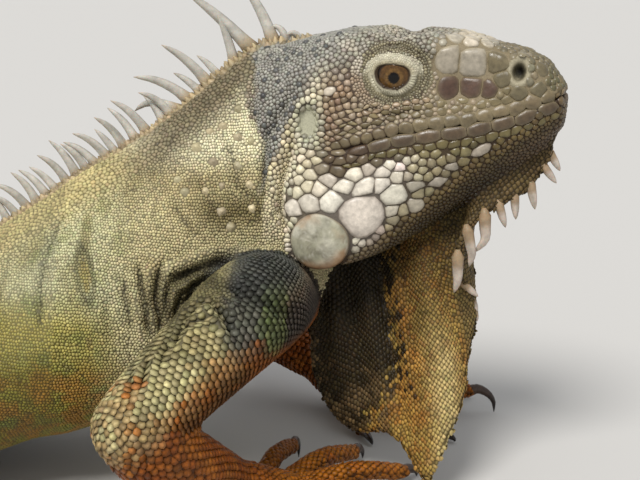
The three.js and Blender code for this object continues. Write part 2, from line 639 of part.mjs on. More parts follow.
const legLeft = LEG;
const legRight = {
  upper: mirrored(LEG.upper),
  fore: mirrored(LEG.fore),
  palm: mirrored(LEG.palm),
  digits: LEG.digits.map(mirrored),
};
limb("right_arm_", ARM_RIGHT, ["upper", "fore", "hand"], 7);
limb("left_arm_", ARM_LEFT, ["upper", "fore", "hand"], 11);
limb("right_leg_", legRight, ["thigh", "shin", "foot"], 9);
limb("left_leg_", legLeft, ["thigh", "shin", "foot"], 9);

export default group;
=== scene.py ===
"""A large male green iguana: one skin over the whole animal, its coat of scales, crest, eyes, claws,
eardrums and jowl shields, with floor, light and camera.

Shaping is done in millimetres and written to meshes in metres. Colours are given as red, green and
blue out of 255, as they look, and turned to light values by paint()."""

import itertools
import math
from functools import partial

import bmesh
import bpy
import numpy as np
from mathutils import Matrix, Vector
from mathutils.bvhtree import BVHTree
from mathutils.kdtree import KDTree


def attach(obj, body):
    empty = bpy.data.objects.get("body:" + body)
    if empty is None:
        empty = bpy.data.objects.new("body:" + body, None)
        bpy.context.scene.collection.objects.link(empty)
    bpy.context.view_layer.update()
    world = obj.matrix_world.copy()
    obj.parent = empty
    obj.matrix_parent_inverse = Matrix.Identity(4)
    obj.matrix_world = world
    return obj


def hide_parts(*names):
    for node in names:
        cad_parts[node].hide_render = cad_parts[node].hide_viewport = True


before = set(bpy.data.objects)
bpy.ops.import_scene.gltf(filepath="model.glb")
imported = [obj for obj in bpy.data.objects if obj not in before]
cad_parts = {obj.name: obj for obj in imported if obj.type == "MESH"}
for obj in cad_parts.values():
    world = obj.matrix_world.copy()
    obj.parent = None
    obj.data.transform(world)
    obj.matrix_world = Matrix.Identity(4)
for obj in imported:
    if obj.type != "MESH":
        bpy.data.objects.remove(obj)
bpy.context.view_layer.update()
MM = 0.001
chance = np.random.default_rng(11)

# ---- Dimensions shared with the solids -----------------------------------------------------------
HEAD_AT = np.array([230.0, -3.0, 0.0])
HEAD_TURN = math.radians(-17)
COAT_DEPTH = 0.5  # how far the skin lies below the outline of the scales
SUNK = 4
FLOOR_CLEARANCE = 0.25
SKIN_VOXEL = 1.75
SKIN_TRIANGLES = 190000
FILLET_RINGS = 7  # rings of skin points over which joints between body and limbs are rounded
EYE_SIDE, EYE_UP, EYE_RADIUS, LID_RADIUS = 13.0, 145.2, 9.0, 10.2
NOSTRIL = np.array([40.5, 146.6])
EAR = np.array([-27.6, 128.8])
EAR_HALF, EAR_SIDE = np.array([3.5, 5.6]), 23.2
SHIELD_AT, SHIELD_SIDE, SHIELD_RADIUS = np.array([-21.9, 89.4]), 31.6, 10.2
TAIL_LENGTH, TAIL_STEPS = 800, 200
TAIL_SWING, TAIL_WAVES = math.radians(60), 0.92
TAIL_HALF, TAIL_TIP_HALF, TAIL_HEIGHT, TAIL_SUNK = 27, 1.6, 2.12, 0.095

# Stations of the torso: dorsal x and z, ventral x and z, half width, side offset, widest height.
TORSO = np.array([
    [203, 150, 214, 86, 17, 4, 0.5],
    [191, 154.5, 205, 72, 21, 6, 0.48],
    [177, 152, 198, 58, 26, 7, 0.45],
    [164, 142.5, 189, 47, 31, 6, 0.43],
    [149, 130, 176, 38, 38, 3, 0.42],
    [133, 119, 159, 31, 43, 1, 0.42],
    [117, 109.5, 140, 25, 46.5, 0, 0.42],
    [101, 99, 120, 19.5, 49, 0, 0.42],
    [86, 89.5, 99, 15, 51, 0, 0.42],
    [70, 83, 77, 8.5, 53, 0, 0.42],
    [45, 79.5, 47, 0, 55, 0, 0.42],
    [10, 78, 10, -SUNK, 55.5, 0, 0.43],
    [-30, 76.5, -30, -SUNK, 53, 0, 0.43],
    [-62, 73, -62, -SUNK, 47, 0, 0.45],
    [-92, 66, -92, -SUNK, 40, 0, 0.47],
    [-115, 60, -115, -SUNK, 33, 0, 0.48],
])

# Stations of the head: forward distance, crown height, then half width and height of the brow, the
# eye level, the lip, the jaw's side and its lower edge, and the throat's height.
HEAD = np.array([
    [-54, 149, 12, 147, 22, 134, 23, 119, 22, 106, 14, 95, 99],
    [-41, 153.5, 13, 151.5, 24.5, 138, 27.5, 119, 28.5, 101, 21, 87, 95],
    [-28, 157, 12.5, 155.8, 24.5, 144, 28, 121, 32, 97, 26, 79.5, 91],
    [-14, 158.2, 12.5, 158, 21.5, 148, 27.5, 121.5, 31.8, 100, 25, 80.5, 90],
    [0, 156.6, 14.5, 159, 18.5, 149, 24.5, 125.6, 27, 108, 20, 86, 91],
    [13, 157.2, 13.5, 157.8, 16.5, 148, 21.8, 127.6, 23, 113, 15, 95.5, 96],
    [27, 157, 9.8, 155.4, 13, 147.5, 18, 129.8, 18, 118.5, 11, 106, 104.5],
    [40, 154, 7.4, 152.3, 11.4, 146.5, 14, 132.8, 13.4, 124.6, 8, 116, 114],
    [48.5, 149.8, 5.6, 148.4, 9.2, 144, 10.6, 135.8, 10, 129.5, 6.2, 122.4, 120.5],
    [53, 144, 3.4, 143.2, 5.8, 140.5, 6.8, 137, 6.6, 132, 4.2, 127, 126],
])
HEAD_BACK, HEAD_FRONT, NOSE_MIDDLE = -50, 53.6, 135
MOUTH = np.array([
    [-18, 119.6], [-9, 122.6], [0, 125.4], [10, 127.4], [26, 129.6], [40, 133], [49, 136], [54, 138.6],
])

# Limbs: joints of the centre lines with radii, shoulder or hip first.
ARM_RIGHT = {
    "upper": [[186, -10, 64, 14], [178, -44, 71, 17.5], [160, -71, 60, 15], [143, -92, 48, 12.8]],
    "fore": [[143, -92, 48, 12.8], [151, -85, 37, 13], [162, -71, 25, 11], [171, -61, 17.5, 8.2]],
    "palm": [[171, -61, 17.5, 8.2], [180, -54, 10.5, 9], [188, -49, 7, 8.4], [192, -47, 6.2, 6.5]],
    "digits": [
        [[179, -46, 8.5, 4], [184, -26, 11.5, 3.5], [190, -7, 8, 3]],
        [[187, -45, 8.5, 4.2], [200, -26, 10.5, 3.7], [212, -7, 5.5, 3.1]],
        [[190, -47, 8, 4.2], [211, -36, 10, 3.8], [229, -22, 4.2, 3.1]],
        [[192, -51, 8, 4.2], [209, -50, 9.5, 3.8], [223, -47, 2.8, 3]],
        [[186, -57, 7, 4], [198, -65, 8, 3.5], [208, -73, 2.6, 2.9]],
    ],
}
ARM_LEFT = {
    "upper": [[186, 18, 64, 14], [180, 46, 70, 17.5], [166, 67, 58, 15], [152, 84, 47, 12.8]],
    "fore": [[152, 84, 47, 12.8], [165, 80, 37, 13], [183, 70, 26, 11], [199, 59, 17.5, 8.2]],
    "palm": [[199, 59, 17.5, 8.2], [209, 54, 10.5, 9], [217, 49, 7, 8.4], [221, 47, 6.2, 6.5]],
    "digits": [
        [[208, 46, 8, 4], [212, 33, 9.5, 3.5], [216, 22, 2.8, 2.9]],
        [[217, 44, 8, 4.2], [231, 32, 9.5, 3.7], [243, 22, 2.8, 3]],
        [[220, 47, 8, 4.2], [240, 46, 10.5, 3.8], [259, 46.5, 9.5, 3.2]],
        [[221, 52, 8, 4.2], [238, 56, 9.5, 3.8], [252, 61, 2.8, 3]],
        [[215, 58, 7, 4], [225, 68, 8, 3.5], [233, 78, 2.6, 2.9]],
    ],
}
LEG_LEFT = {
    "upper": [[-82, 4, 30, 20], [-72, 32, 39, 24], [-50, 60, 42, 20], [-26, 82, 38, 13.5]],
    "fore": [[-26, 82, 38, 13.5], [-46, 88, 31, 14.5], [-75, 95, 20, 10.5], [-100, 99, 12.5, 7.5]],
    "palm": [[-100, 99, 12.5, 7.5], [-89, 107, 8, 8], [-77, 113, 6.6, 8.8], [-68, 117, 6, 7]],
    "digits": [
        [[-78, 108, 7, 4], [-68, 104, 7.8, 3.5], [-59, 101, 2.6, 2.9]],
        [[-71, 111, 7, 4.2], [-55, 109, 8.6, 3.7], [-42, 108, 2.8, 3]],
        [[-70, 116, 7, 4.3], [-47, 117, 9.2, 3.8], [-27, 119, 2.8, 3]],
        [[-72, 120, 7, 4.3], [-46, 128, 9.4, 3.8], [-20, 137, 2.8, 3]],
        [[-90, 115, 6.6, 4.2], [-81, 129, 8, 3.6], [-73, 142, 2.6, 2.9]],
    ],
}


def mirrored(joints):
    return [[x, -y, z, r] for x, y, z, r in joints]


LEG_RIGHT = {part: mirrored(LEG_LEFT[part]) for part in ("upper", "fore", "palm")}
LEG_RIGHT["digits"] = [mirrored(digit) for digit in LEG_LEFT["digits"]]
LIMBS = {"right_arm": ARM_RIGHT, "left_arm": ARM_LEFT, "right_leg": LEG_RIGHT, "left_leg": LEG_LEFT}
CLAW_LENGTH = {"right_arm": 7, "left_arm": 11, "right_leg": 9, "left_leg": 9}

# The dewlap's line along jaw, throat and chest, chin first, and its free edge.
DEWLAP_ROOT = np.array([
    [280, -18, 124], [272, -16, 120], [262, -13, 114], [252, -10, 108], [243, -7, 103], [234, -4, 98],
    [226, -2, 96], [216, 0, 96], [207, 1, 92], [202, 0, 82], [199, 0, 70],
])
DEWLAP_EDGE = np.array([
    [279, -18, 118], [272, -19, 107], [263, -21, 101], [255, -23, 97], [248, -25, 89], [246.5, -25, 80],
    [251, -21, 70], [254.5, -18, 60], [252, -22, 48], [250, -28, 35], [245.5, -34, 24], [240, -38, 12.5],
    [236.5, -37, 6.8], [232, -34, 11.6], [227, -27, 18], [222, -19, 18], [215, -12, 14.5], [205.5, -8, 19],
    [199, -6, 31], [196.5, -6, 46], [197.5, -5, 56],
])


# ---- Small tools ---------------------------------------------------------------------------------
def unit(v):
    return v / np.maximum(np.linalg.norm(v, axis=-1, keepdims=True), 1e-9)


def ease(low, high, x):
    """0 below low, 1 above high, eased between."""
    t = np.clip((x - low) / (high - low), 0, 1)
    return t * t * (3 - 2 * t)


def bell(x, width):
    return np.exp(-((x / width) ** 2))


def through(rows, u):
    """Catmull-Rom values of the rows at fractional row numbers u."""
    rows = np.asarray(rows, float)
    last = len(rows) - 1
    i = np.clip(np.floor(u).astype(int), 0, last - 1)
    t = (u - i)[..., None]
    p, a, b, n = rows[np.maximum(i - 1, 0)], rows[i], rows[i + 1], rows[np.minimum(i + 2, last)]
    left = np.where((i > 0)[..., None], (b - p) / 2, b - a)
    right = np.where((i + 1 < last)[..., None], (n - a) / 2, b - a)
    t2, t3 = t * t, t * t * t
    return (2 * t3 - 3 * t2 + 1) * a + (t3 - 2 * t2 + t) * left + (3 * t2 - 2 * t3) * b + (t3 - t2) * right


def to_world(s, l, z):
    """From the head's own forward, left and up to the part's frame."""
    c, n = math.cos(HEAD_TURN), math.sin(HEAD_TURN)
    return np.stack([HEAD_AT[0] + s * c - l * n, HEAD_AT[1] + s * n + l * c, z + 0 * s], axis=-1)


def to_head(p):
    c, n = math.cos(HEAD_TURN), math.sin(HEAD_TURN)
    d = p - HEAD_AT
    return d[..., 0] * c + d[..., 1] * n, -d[..., 0] * n + d[..., 1] * c, d[..., 2]


def line_distance(points, line):
    """Distance in a plane from each point to a polyline, and how far along the line it lies."""
    best = np.full(len(points), 1e9)
    place = np.zeros(len(points))
    walked = 0.0
    for a, b in zip(np.asarray(line, float)[:-1], np.asarray(line, float)[1:]):
        length = np.linalg.norm(b - a)
        t = np.clip((points - a) @ (b - a) / length**2, 0, 1)
        d = np.linalg.norm(points - a - t[:, None] * (b - a), axis=1)
        place = np.where(d < best, walked + t * length, place)
        best = np.minimum(best, d)
        walked += length
    return best, place


def noise(p, size, seed=0):
    """Smooth noise between -1 and 1, with features of about size millimetres."""
    q = p / size + seed * 7.31
    cell = np.floor(q).astype(np.int64)
    f = q - cell
    f = f * f * (3 - 2 * f)
    total = np.zeros(len(p))
    for corner in itertools.product((0, 1), repeat=3):
        i = cell + np.array(corner)
        h = (i[:, 0] * 73856093) ^ (i[:, 1] * 19349663) ^ (i[:, 2] * 83492791) ^ (seed * 2654435)
        h = (h ^ (h >> 13)) * 1274126177
        value = ((h ^ (h >> 16)) & 0xFFFF) / 32767.5 - 1
        total += value * np.prod(np.where(corner, f, 1 - f), axis=1)
    return total


def clouds(p, size, seed=0):
    """Noise of three sizes laid over each other."""
    broad, middling = noise(p, size, seed) * 0.6, noise(p, size * 0.45, seed + 1) * 0.3
    return broad + middling + noise(p, size * 0.2, seed + 2) * 0.15


def paint(red, green, blue):
    """Light values of a colour given as it looks."""
    c = np.array([red, green, blue]) / 255
    return np.where(c <= 0.04045, c / 12.92, ((c + 0.055) / 1.055) ** 2.4)


def plain(colour, count):
    return np.repeat(colour[None], count, axis=0)


def wash(colours, other, share):
    """Lays another colour over a whole array of them, in place, as strongly as share says."""
    colours += (other - colours) * np.clip(share, 0, 1)[:, None]
    return colours


def length_along(line):
    """How far along a line of points each of them lies."""
    return np.concatenate([[0], np.cumsum(np.linalg.norm(np.diff(line, axis=0), axis=1))])


def points_on(line, reach, stops):
    return np.stack([np.interp(stops, reach, line[:, k]) for k in range(line.shape[1])], axis=1)


def lip_height(s):
    """Height of the line where the lips meet, at a forward place on the head."""
    return np.interp(s, MOUTH[:, 0], MOUTH[:, 1])


def tree_of(points):
    tree = KDTree(len(points))
    for i, p in enumerate(points):
        tree.insert(p, i)
    tree.balance()
    return tree


# ---- The body as closed grids of points ----------------------------------------------------------
def body_ring(dorsal, ventral, half, widest, v, crest, belly):
    angle = 2 * np.pi * v + np.pi / 2
    c, s = np.cos(angle), np.sin(angle)
    span = np.linalg.norm(dorsal - ventral, axis=1)[:, None]
    up = (dorsal - ventral) / span
    level = widest * span
    power = np.where(s > 0, crest, belly)
    out = np.sign(c) * np.abs(c) ** (2 / power) * (half - COAT_DEPTH)
    reach = np.where(s > 0, span - level, level) - COAT_DEPTH
    rise = level + np.sign(s) * np.abs(s) ** (2 / power) * reach
    return out, ventral[:, None] + up[:, None] * rise[..., None]


def torso_section(u):
    t = through(TORSO, u * (len(TORSO) - 1))
    dorsal, ventral = t[:, [0, 5, 1]], t[:, [2, 5, 3]]
    return dorsal, ventral, t[:, 4:5], t[:, 6:7]


def torso_grid(rows, around):
    v = np.arange(around) / around
    out, at = body_ring(*torso_section(np.linspace(0, 1, rows)), v, 1.75, 2.5)
    at[..., 1] += out
    return at


def tail_heading(t):
    return TAIL_SWING * np.sin(2 * np.pi * TAIL_WAVES * t) * np.minimum(1, 5 * t)


turns = tail_heading((np.arange(TAIL_STEPS) + 0.5) / TAIL_STEPS)
steps = TAIL_LENGTH / TAIL_STEPS * np.stack([-np.cos(turns), np.sin(turns)], axis=1)
TAIL_LINE = np.concatenate([[[0.0, 0.0]], np.cumsum(steps, axis=0)]) + [TORSO[-1, 0], 0]


def tail_section(t):
    at = through(TAIL_LINE, t * TAIL_STEPS)
    swelling = np.exp(-t * 30)
    half = TAIL_TIP_HALF + (TAIL_HALF + 6 * swelling - TAIL_TIP_HALF) * (1 - t) ** 1.25
    height = half * (TAIL_HEIGHT - 0.3 * swelling)
    dorsal = np.column_stack([at, height])
    ventral = np.column_stack([at, -TAIL_SUNK * height])
    return dorsal, ventral, half[:, None], np.full((len(t), 1), 0.5)


def tail_grid(rows, around):
    t = np.linspace(0, 1, rows)
    out, at = body_ring(*tail_section(t), np.arange(around) / around, 2, 2.2)
    turn = tail_heading(t)[:, None]
    at[..., 0] += out * np.sin(turn)
    at[..., 1] += out * np.cos(turn)
    return at


def head_ring(s, around):
    i = int(np.clip(np.searchsorted(HEAD[:, 0], s) - 1, 0, len(HEAD) - 2))
    u = i + (s - HEAD[i, 0]) / (HEAD[i + 1, 0] - HEAD[i, 0])
    h = through(HEAD, np.array([u]))[0]
    half = np.array([[0, h[1]], *[[h[k], h[k + 1]] for k in range(2, 12, 2)], [0, h[12]]])
    ring = np.concatenate([half, (half * [-1, 1])[-2:0:-1]])
    t = np.arange(around) / around * len(ring)
    k, f = np.floor(t).astype(int), (t % 1)[:, None]
    p, a, b, n = (ring[(k + j) % len(ring)] for j in (-1, 0, 1, 2))
    out = 0.5 * (2 * a + (b - p) * f + (2 * p - 5 * a + 4 * b - n) * f**2 + (3 * a - p - 3 * b + n) * f**3)
    middle = np.array([0, (h[1] + h[12]) / 2])
    away = out - middle
    return middle + away * (1 - COAT_DEPTH / np.linalg.norm(away, axis=1, keepdims=True))


def head_grid(rows, around):
    """Nose first, so that the rows follow the lie of the scales."""
    rings = []
    front = head_ring(53, around)
    middle = np.array([0, NOSE_MIDDLE])
    for share in (0.1, 0.3, 0.5, 0.7, 0.85, 0.95):
        rings.append((HEAD_FRONT + 1.1 * math.sqrt(1 - share**2), middle + (front - middle) * share))
    for s in np.linspace(HEAD_FRONT, HEAD_BACK, rows):
        rings.append((s, head_ring(s, around)))
    return np.array([to_world(np.full(around, s), ring[:, 0], ring[:, 1]) for s, ring in rings])


def tube_frames(joints, count):
    joints = np.array(joints, float)
    last = len(joints) - 1
    u = np.linspace(0, last, count)
    at = through(joints, u)
    ahead, behind = np.minimum(u + 0.02, last), np.maximum(u - 0.02, 0)
    way = unit((through(joints, ahead) - through(joints, behind))[:, :3])
    side = np.cross([0, 0, 1], way[0])
    sides = []
    for direction in way:
        side = unit(side - direction * (side @ direction))
        sides.append(side)
    sides = np.array(sides)
    return at[:, :3], at[:, 3], way, sides, np.cross(way, sides)


def tube_grid(joints, rows, around):
    at, radius, way, side, up = tube_frames(joints, rows)
    radius = radius - COAT_DEPTH
    caps = np.array([0.3, 0.55, 0.75, 0.9, 0.98])
    before, after = -caps[::-1], caps
    steps = np.concatenate([before, np.zeros(rows), after])
    index = np.clip(np.arange(len(steps)) - len(caps), 0, rows - 1)
    centre = at[index] + way[index] * (steps * radius[index])[:, None]
    size = radius[index] * np.sqrt(1 - steps**2)
    angle = 2 * np.pi * np.arange(around) / around
    ring = side[index][:, None] * np.cos(angle)[:, None] + up[index][:, None] * np.sin(angle)[:, None]
    return centre[:, None] + ring * size[:, None, None]


def dewlap_sheet(u, v):
    """Points of the dewlap's middle surface, with soft pleats that fade at the root."""
    root = through(DEWLAP_ROOT, u * (len(DEWLAP_ROOT) - 1))
    edge = through(DEWLAP_EDGE, u * (len(DEWLAP_EDGE) - 1))
    p = root + (edge - root) * v[..., None]
    hang = np.sin(np.pi * np.clip(v, 0, 0.97)) ** 0.8
    fold = -5.0 * bell(u - 0.5, 0.085) + 6.0 * bell(u - 0.665, 0.04) - 3.6 * bell(u - 0.8, 0.07)
    fold += 1.2 * np.sin(2 * np.pi * (9 * u + 0.4 * v)) * ease(0.3, 0.42, u)
    p[..., 1] += fold * hang + 2.4 * bell(u - 0.33, 0.045) * ease(0.45, 0.9, v)
    return p


def dewlap_grid(rows, deep):
    u = np.linspace(0, 1, rows)[:, None] + np.zeros(deep)
    v = np.sin(np.linspace(0, 1, deep) * np.pi / 2) + np.zeros((rows, 1))
    step = 0.004
    p = dewlap_sheet(u, v)
    along = dewlap_sheet(np.minimum(u + step, 1), v) - dewlap_sheet(np.maximum(u - step, 0), v)
    down = dewlap_sheet(u, np.minimum(v + step, 1)) - dewlap_sheet(u, np.maximum(v - step, 0))
    normal = unit(np.cross(along, down))
    half = (1.65 - 0.4 * v) * np.sqrt(np.clip(1 - ease(0.93, 1.04, v) ** 2, 0.05, 1))
    front, rear = p + normal * half[..., None], p - normal * half[..., None]
    return np.concatenate([front, rear[:, ::-1]], axis=1)


HEAD_REGION, TORSO_REGION, TAIL_REGION, DEWLAP_REGION, LIMB_REGION, DIGIT_REGION = range(6)
surfaces = [
    {"region": HEAD_REGION, "grid": head_grid(64, 112), "limb": "", "part": "head"},
    {"region": TORSO_REGION, "grid": torso_grid(180, 160), "limb": "", "part": "torso"},
    {"region": TAIL_REGION, "grid": tail_grid(420, 64), "limb": "", "part": "tail"},
    {"region": DEWLAP_REGION, "grid": dewlap_grid(120, 36), "limb": "", "part": "dewlap"},
]
for limb_name, limb in LIMBS.items():
    for part in ("upper", "fore", "palm"):
        tube = tube_grid(limb[part], 44, 48)
        surfaces.append({"region": LIMB_REGION, "grid": tube, "limb": limb_name, "part": part})
    for joints in limb["digits"]:
        tube = tube_grid(joints, 26, 22)
        surfaces.append({"region": DIGIT_REGION, "grid": tube, "limb": limb_name, "part": "digit"})
for surface in surfaces:
    grid = surface["grid"]
    lie = np.gradient(grid, axis=0)
    if surface["region"] == DEWLAP_REGION:
        half = grid.shape[1] // 2
        lie = np.gradient(grid, axis=1)
        lie[:, half:] *= -1
    surface["lie"] = unit(lie)

# The lattice tells any point of the skin which surface it belongs to and where on it it lies.
lattice_points = np.concatenate([s["grid"].reshape(-1, 3) for s in surfaces])
lattice_lie = np.concatenate([s["lie"].reshape(-1, 3) for s in surfaces])
lattice_place = np.repeat(np.arange(len(surfaces)), [s["grid"][..., 0].size for s in surfaces])
shares = []
for s in surfaces:
    rows, around = s["grid"].shape[:2]
    row, column = np.meshgrid(np.arange(rows) / (rows - 1), np.arange(around) / around, indexing="ij")
    shares.append(np.stack([row, column], axis=-1).reshape(-1, 2))
lattice_share = np.concatenate(shares)
lattice_tree = tree_of(lattice_points)
surface_region = np.array([s["region"] for s in surfaces])


def nearest_lattice(points):
    return np.array([lattice_tree.find(p)[1] for p in points])


# ---- The skin ------------------------------------------------------------------------------------
def add_loft(bm, grid):
    """Adds a closed shell over a grid of points to a bmesh, its ends filled."""
    rows, around = grid.shape[:2]
    made = bmesh.ops.create_grid(bm, x_segments=around, y_segments=rows - 1, size=1)["verts"]
    for vert in made:
        column = round((vert.co.x + 1) / 2 * around) % around
        row = round((vert.co.y + 1) / 2 * (rows - 1))
        x, y, z = grid[row, column]
        vert.co = (x, y, max(z, FLOOR_CLEARANCE))
    bmesh.ops.remove_doubles(bm, verts=made, dist=1e-5)
    made = [vert for vert in made if vert.is_valid]
    open_edges = [edge for vert in made for edge in vert.link_edges if edge.is_boundary]
    bmesh.ops.holes_fill(bm, edges=list(set(open_edges)), sides=0)
    faces = list({face for vert in made for face in vert.link_faces})
    bmesh.ops.recalc_face_normals(bm, faces=faces)


def coordinates(mesh):
    co = np.empty(len(mesh.vertices) * 3, np.float32)
    mesh.vertices.foreach_get("co", co)
    return co.reshape(-1, 3).astype(float)


def vertex_normals(mesh):
    normals = np.empty(len(mesh.vertices) * 3, np.float32)
    mesh.vertex_normals.foreach_get("vector", normals)
    return normals.reshape(-1, 3).astype(float)


def edge_ends(mesh):
    ends = np.empty(len(mesh.edges) * 2, np.int32)
    mesh.edges.foreach_get("vertices", ends)
    return ends.reshape(-1, 2)


def around_mean(values, ends):
    """Mean of each vertex's neighbours."""
    a, b = ends[:, 0], ends[:, 1]
    count = np.bincount(a, minlength=len(values)) + np.bincount(b, minlength=len(values))
    columns = [
        np.bincount(a, values[b, k], len(values)) + np.bincount(b, values[a, k], len(values))
        for k in range(values.shape[1])
    ]
    return np.stack(columns, axis=1) / np.maximum(count, 1)[:, None]


def fair(co, ends, weight, rounds, keep_volume=True):
    """Evens a surface out, where weight says so."""
    for _ in range(rounds):
        co = co + (around_mean(co, ends) - co) * (0.5 * weight)[:, None]
        if keep_volume:
            co = co - (around_mean(co, ends) - co) * (0.52 * weight)[:, None]
    return co


def set_coordinates(mesh, co):
    mesh.vertices.foreach_set("co", co.astype(np.float32).ravel())
    mesh.update()


def remeshed_skin():
    """All lofts and the balls of the lids made one closed skin, in millimetres."""
    bm = bmesh.new()
    for surface in surfaces:
        add_loft(bm, surface["grid"])
    for side in (-1, 1):
        ball = Matrix.Translation(Vector(to_world(0.0, side * EYE_SIDE, EYE_UP)))
        bmesh.ops.create_uvsphere(bm, u_segments=40, v_segments=24, radius=LID_RADIUS, matrix=ball)
    mesh = bpy.data.meshes.new("raw_skin")
    bm.to_mesh(mesh)
    bm.free()
    raw = bpy.data.objects.new("raw_skin", mesh)
    bpy.context.scene.collection.objects.link(raw)
    remesh = raw.modifiers.new("one_skin", "REMESH")
    remesh.mode = "VOXEL"
    remesh.voxel_size = SKIN_VOXEL
    dg = bpy.context.evaluated_depsgraph_get()
    skin_mesh = bpy.data.meshes.new_from_object(raw.evaluated_get(dg))
    bpy.data.objects.remove(raw)
    return skin_mesh


def refine(mesh, chosen):
    """Halves the edges of the faces whose vertices are all chosen."""
    bm = bmesh.new()
    bm.from_mesh(mesh)
    faces = [f for f in bm.faces if all(chosen[v.index] for v in f.verts)]
    edges = list({e for f in faces for e in f.edges})
    bmesh.ops.subdivide_edges(bm, edges=edges, cuts=1, use_grid_fill=True)
    bm.to_mesh(mesh)
    bm.free()


def near_eye(co, reach):
    s, l, z = to_head(co)
    return np.sqrt(s**2 + (np.abs(l) - EYE_SIDE) ** 2 + (z - EYE_UP) ** 2) < reach


# Edge of the eye's opening: half length, and heights above and below the eye's middle.
OPENING_HALF, OPENING_TOP, OPENING_BOTTOM = 6.1, 3.9, 4.9


def lid_distance(s, z):
    """Distance outward from the opening's edge, and the angle round the eye."""
    up = z - EYE_UP
    reach = np.hypot(s, up) + 1e-6
    wide, tall = np.abs(s / reach / (OPENING_HALF + 0.1)), np.abs(up / reach / OPENING_TOP)
    above = (wide**2.6 + tall**2.6) ** (-1 / 2.6)
    below = (np.abs(s / reach / OPENING_HALF) ** 2 + np.abs(up / reach / OPENING_BOTTOM) ** 2) ** -0.5
    return reach - np.where(up > 0, above, below), np.arctan2(up, s)


# The lids' distance from the eye's middle, by distance outward from the opening's edge.
LID_PROFILE = {
    "top": (
        [-9, -1.4, -0.5, 0, 0.5, 2, 3.9, 4.5, 5.2, 6.0, 8],
        [6.5, 7.2, 8.6, 9.75, 10.2, 10.75, 10.2, 9.8, 10.3, 10.3, 9.8],
    ),
    "bottom": (
        [-9, -1.4, -0.5, 0, 0.5, 1.6, 2.3, 3.1, 3.9, 4.7, 5.6, 8],
        [6.5, 7.2, 8.6, 9.6, 9.95, 10.15, 9.65, 10.25, 9.75, 10.3, 9.6, 9.4],
    ),
}


def shape_lids(co):
    """Opens the lids and gives them their rims and rings of folds."""
    s, l, z = to_head(co)
    side = np.sign(l)
    offset = np.stack([s, np.abs(l) - EYE_SIDE, z - EYE_UP], axis=1)
    away = np.linalg.norm(offset, axis=1)
    d, _ = lid_distance(s, z)
    top = np.interp(d, *LID_PROFILE["top"])
    bottom = np.interp(d, *LID_PROFILE["bottom"])
    target = bottom + (top - bottom) * ease(-1.5, 2.0, z - EYE_UP)
    plan = np.hypot(s, z - EYE_UP)
    weight = (1 - ease(8.6, 10.6, plan)) * ease(1.0, 4.0, offset[:, 1])
    weight *= np.abs(away - LID_RADIUS) < 3.5
    goal = np.maximum(away + weight * (target - away), 9.6 * (plan > 7.5))
    close = away < 14
    weight = np.maximum(weight, close & (goal > away))
    offset = offset * np.where(close, goal / np.maximum(away, 1e-6), 1)[:, None]
    changed = to_world(offset[:, 0], side * (offset[:, 1] + EYE_SIDE), offset[:, 2] + EYE_UP)
    return np.where((weight > 0)[:, None], changed, co)


def crease_reach(points, line):
    """Distance from a crease's line, and how strong the crease is there: it fades at both ends."""
    d, along = line_distance(points, line)
    whole = np.linalg.norm(np.diff(np.asarray(line, float), axis=0), axis=1).sum()
    end = min(7.0, 0.4 * whole)
    return d, ease(-0.5, end, along) * ease(whole + 0.5, whole - end, along)


def dent(points, line, depth, width):
    """A crease along a line, with a soft roll on both sides."""
    d, fade = crease_reach(points, line)
    return fade * (-depth * bell(d, width) + 0.35 * depth * bell(d - 2 * width, width))


def mound(points, centre, size, height):
    q = (points - centre) / size
    return height * np.exp(-(q**2).sum(axis=1))


def ear_distance(s, z):
    """Distance from the ear's middle, as a share of its half size."""
    return np.hypot((s - EAR[0]) / EAR_HALF[0], (z - EAR[1]) / EAR_HALF[1])


def nostril_distance(s, z):
    """Distance from the nostril's middle in an upright oval measure."""
    return np.hypot(s - NOSTRIL[0], (z - NOSTRIL[1]) / 1.3)


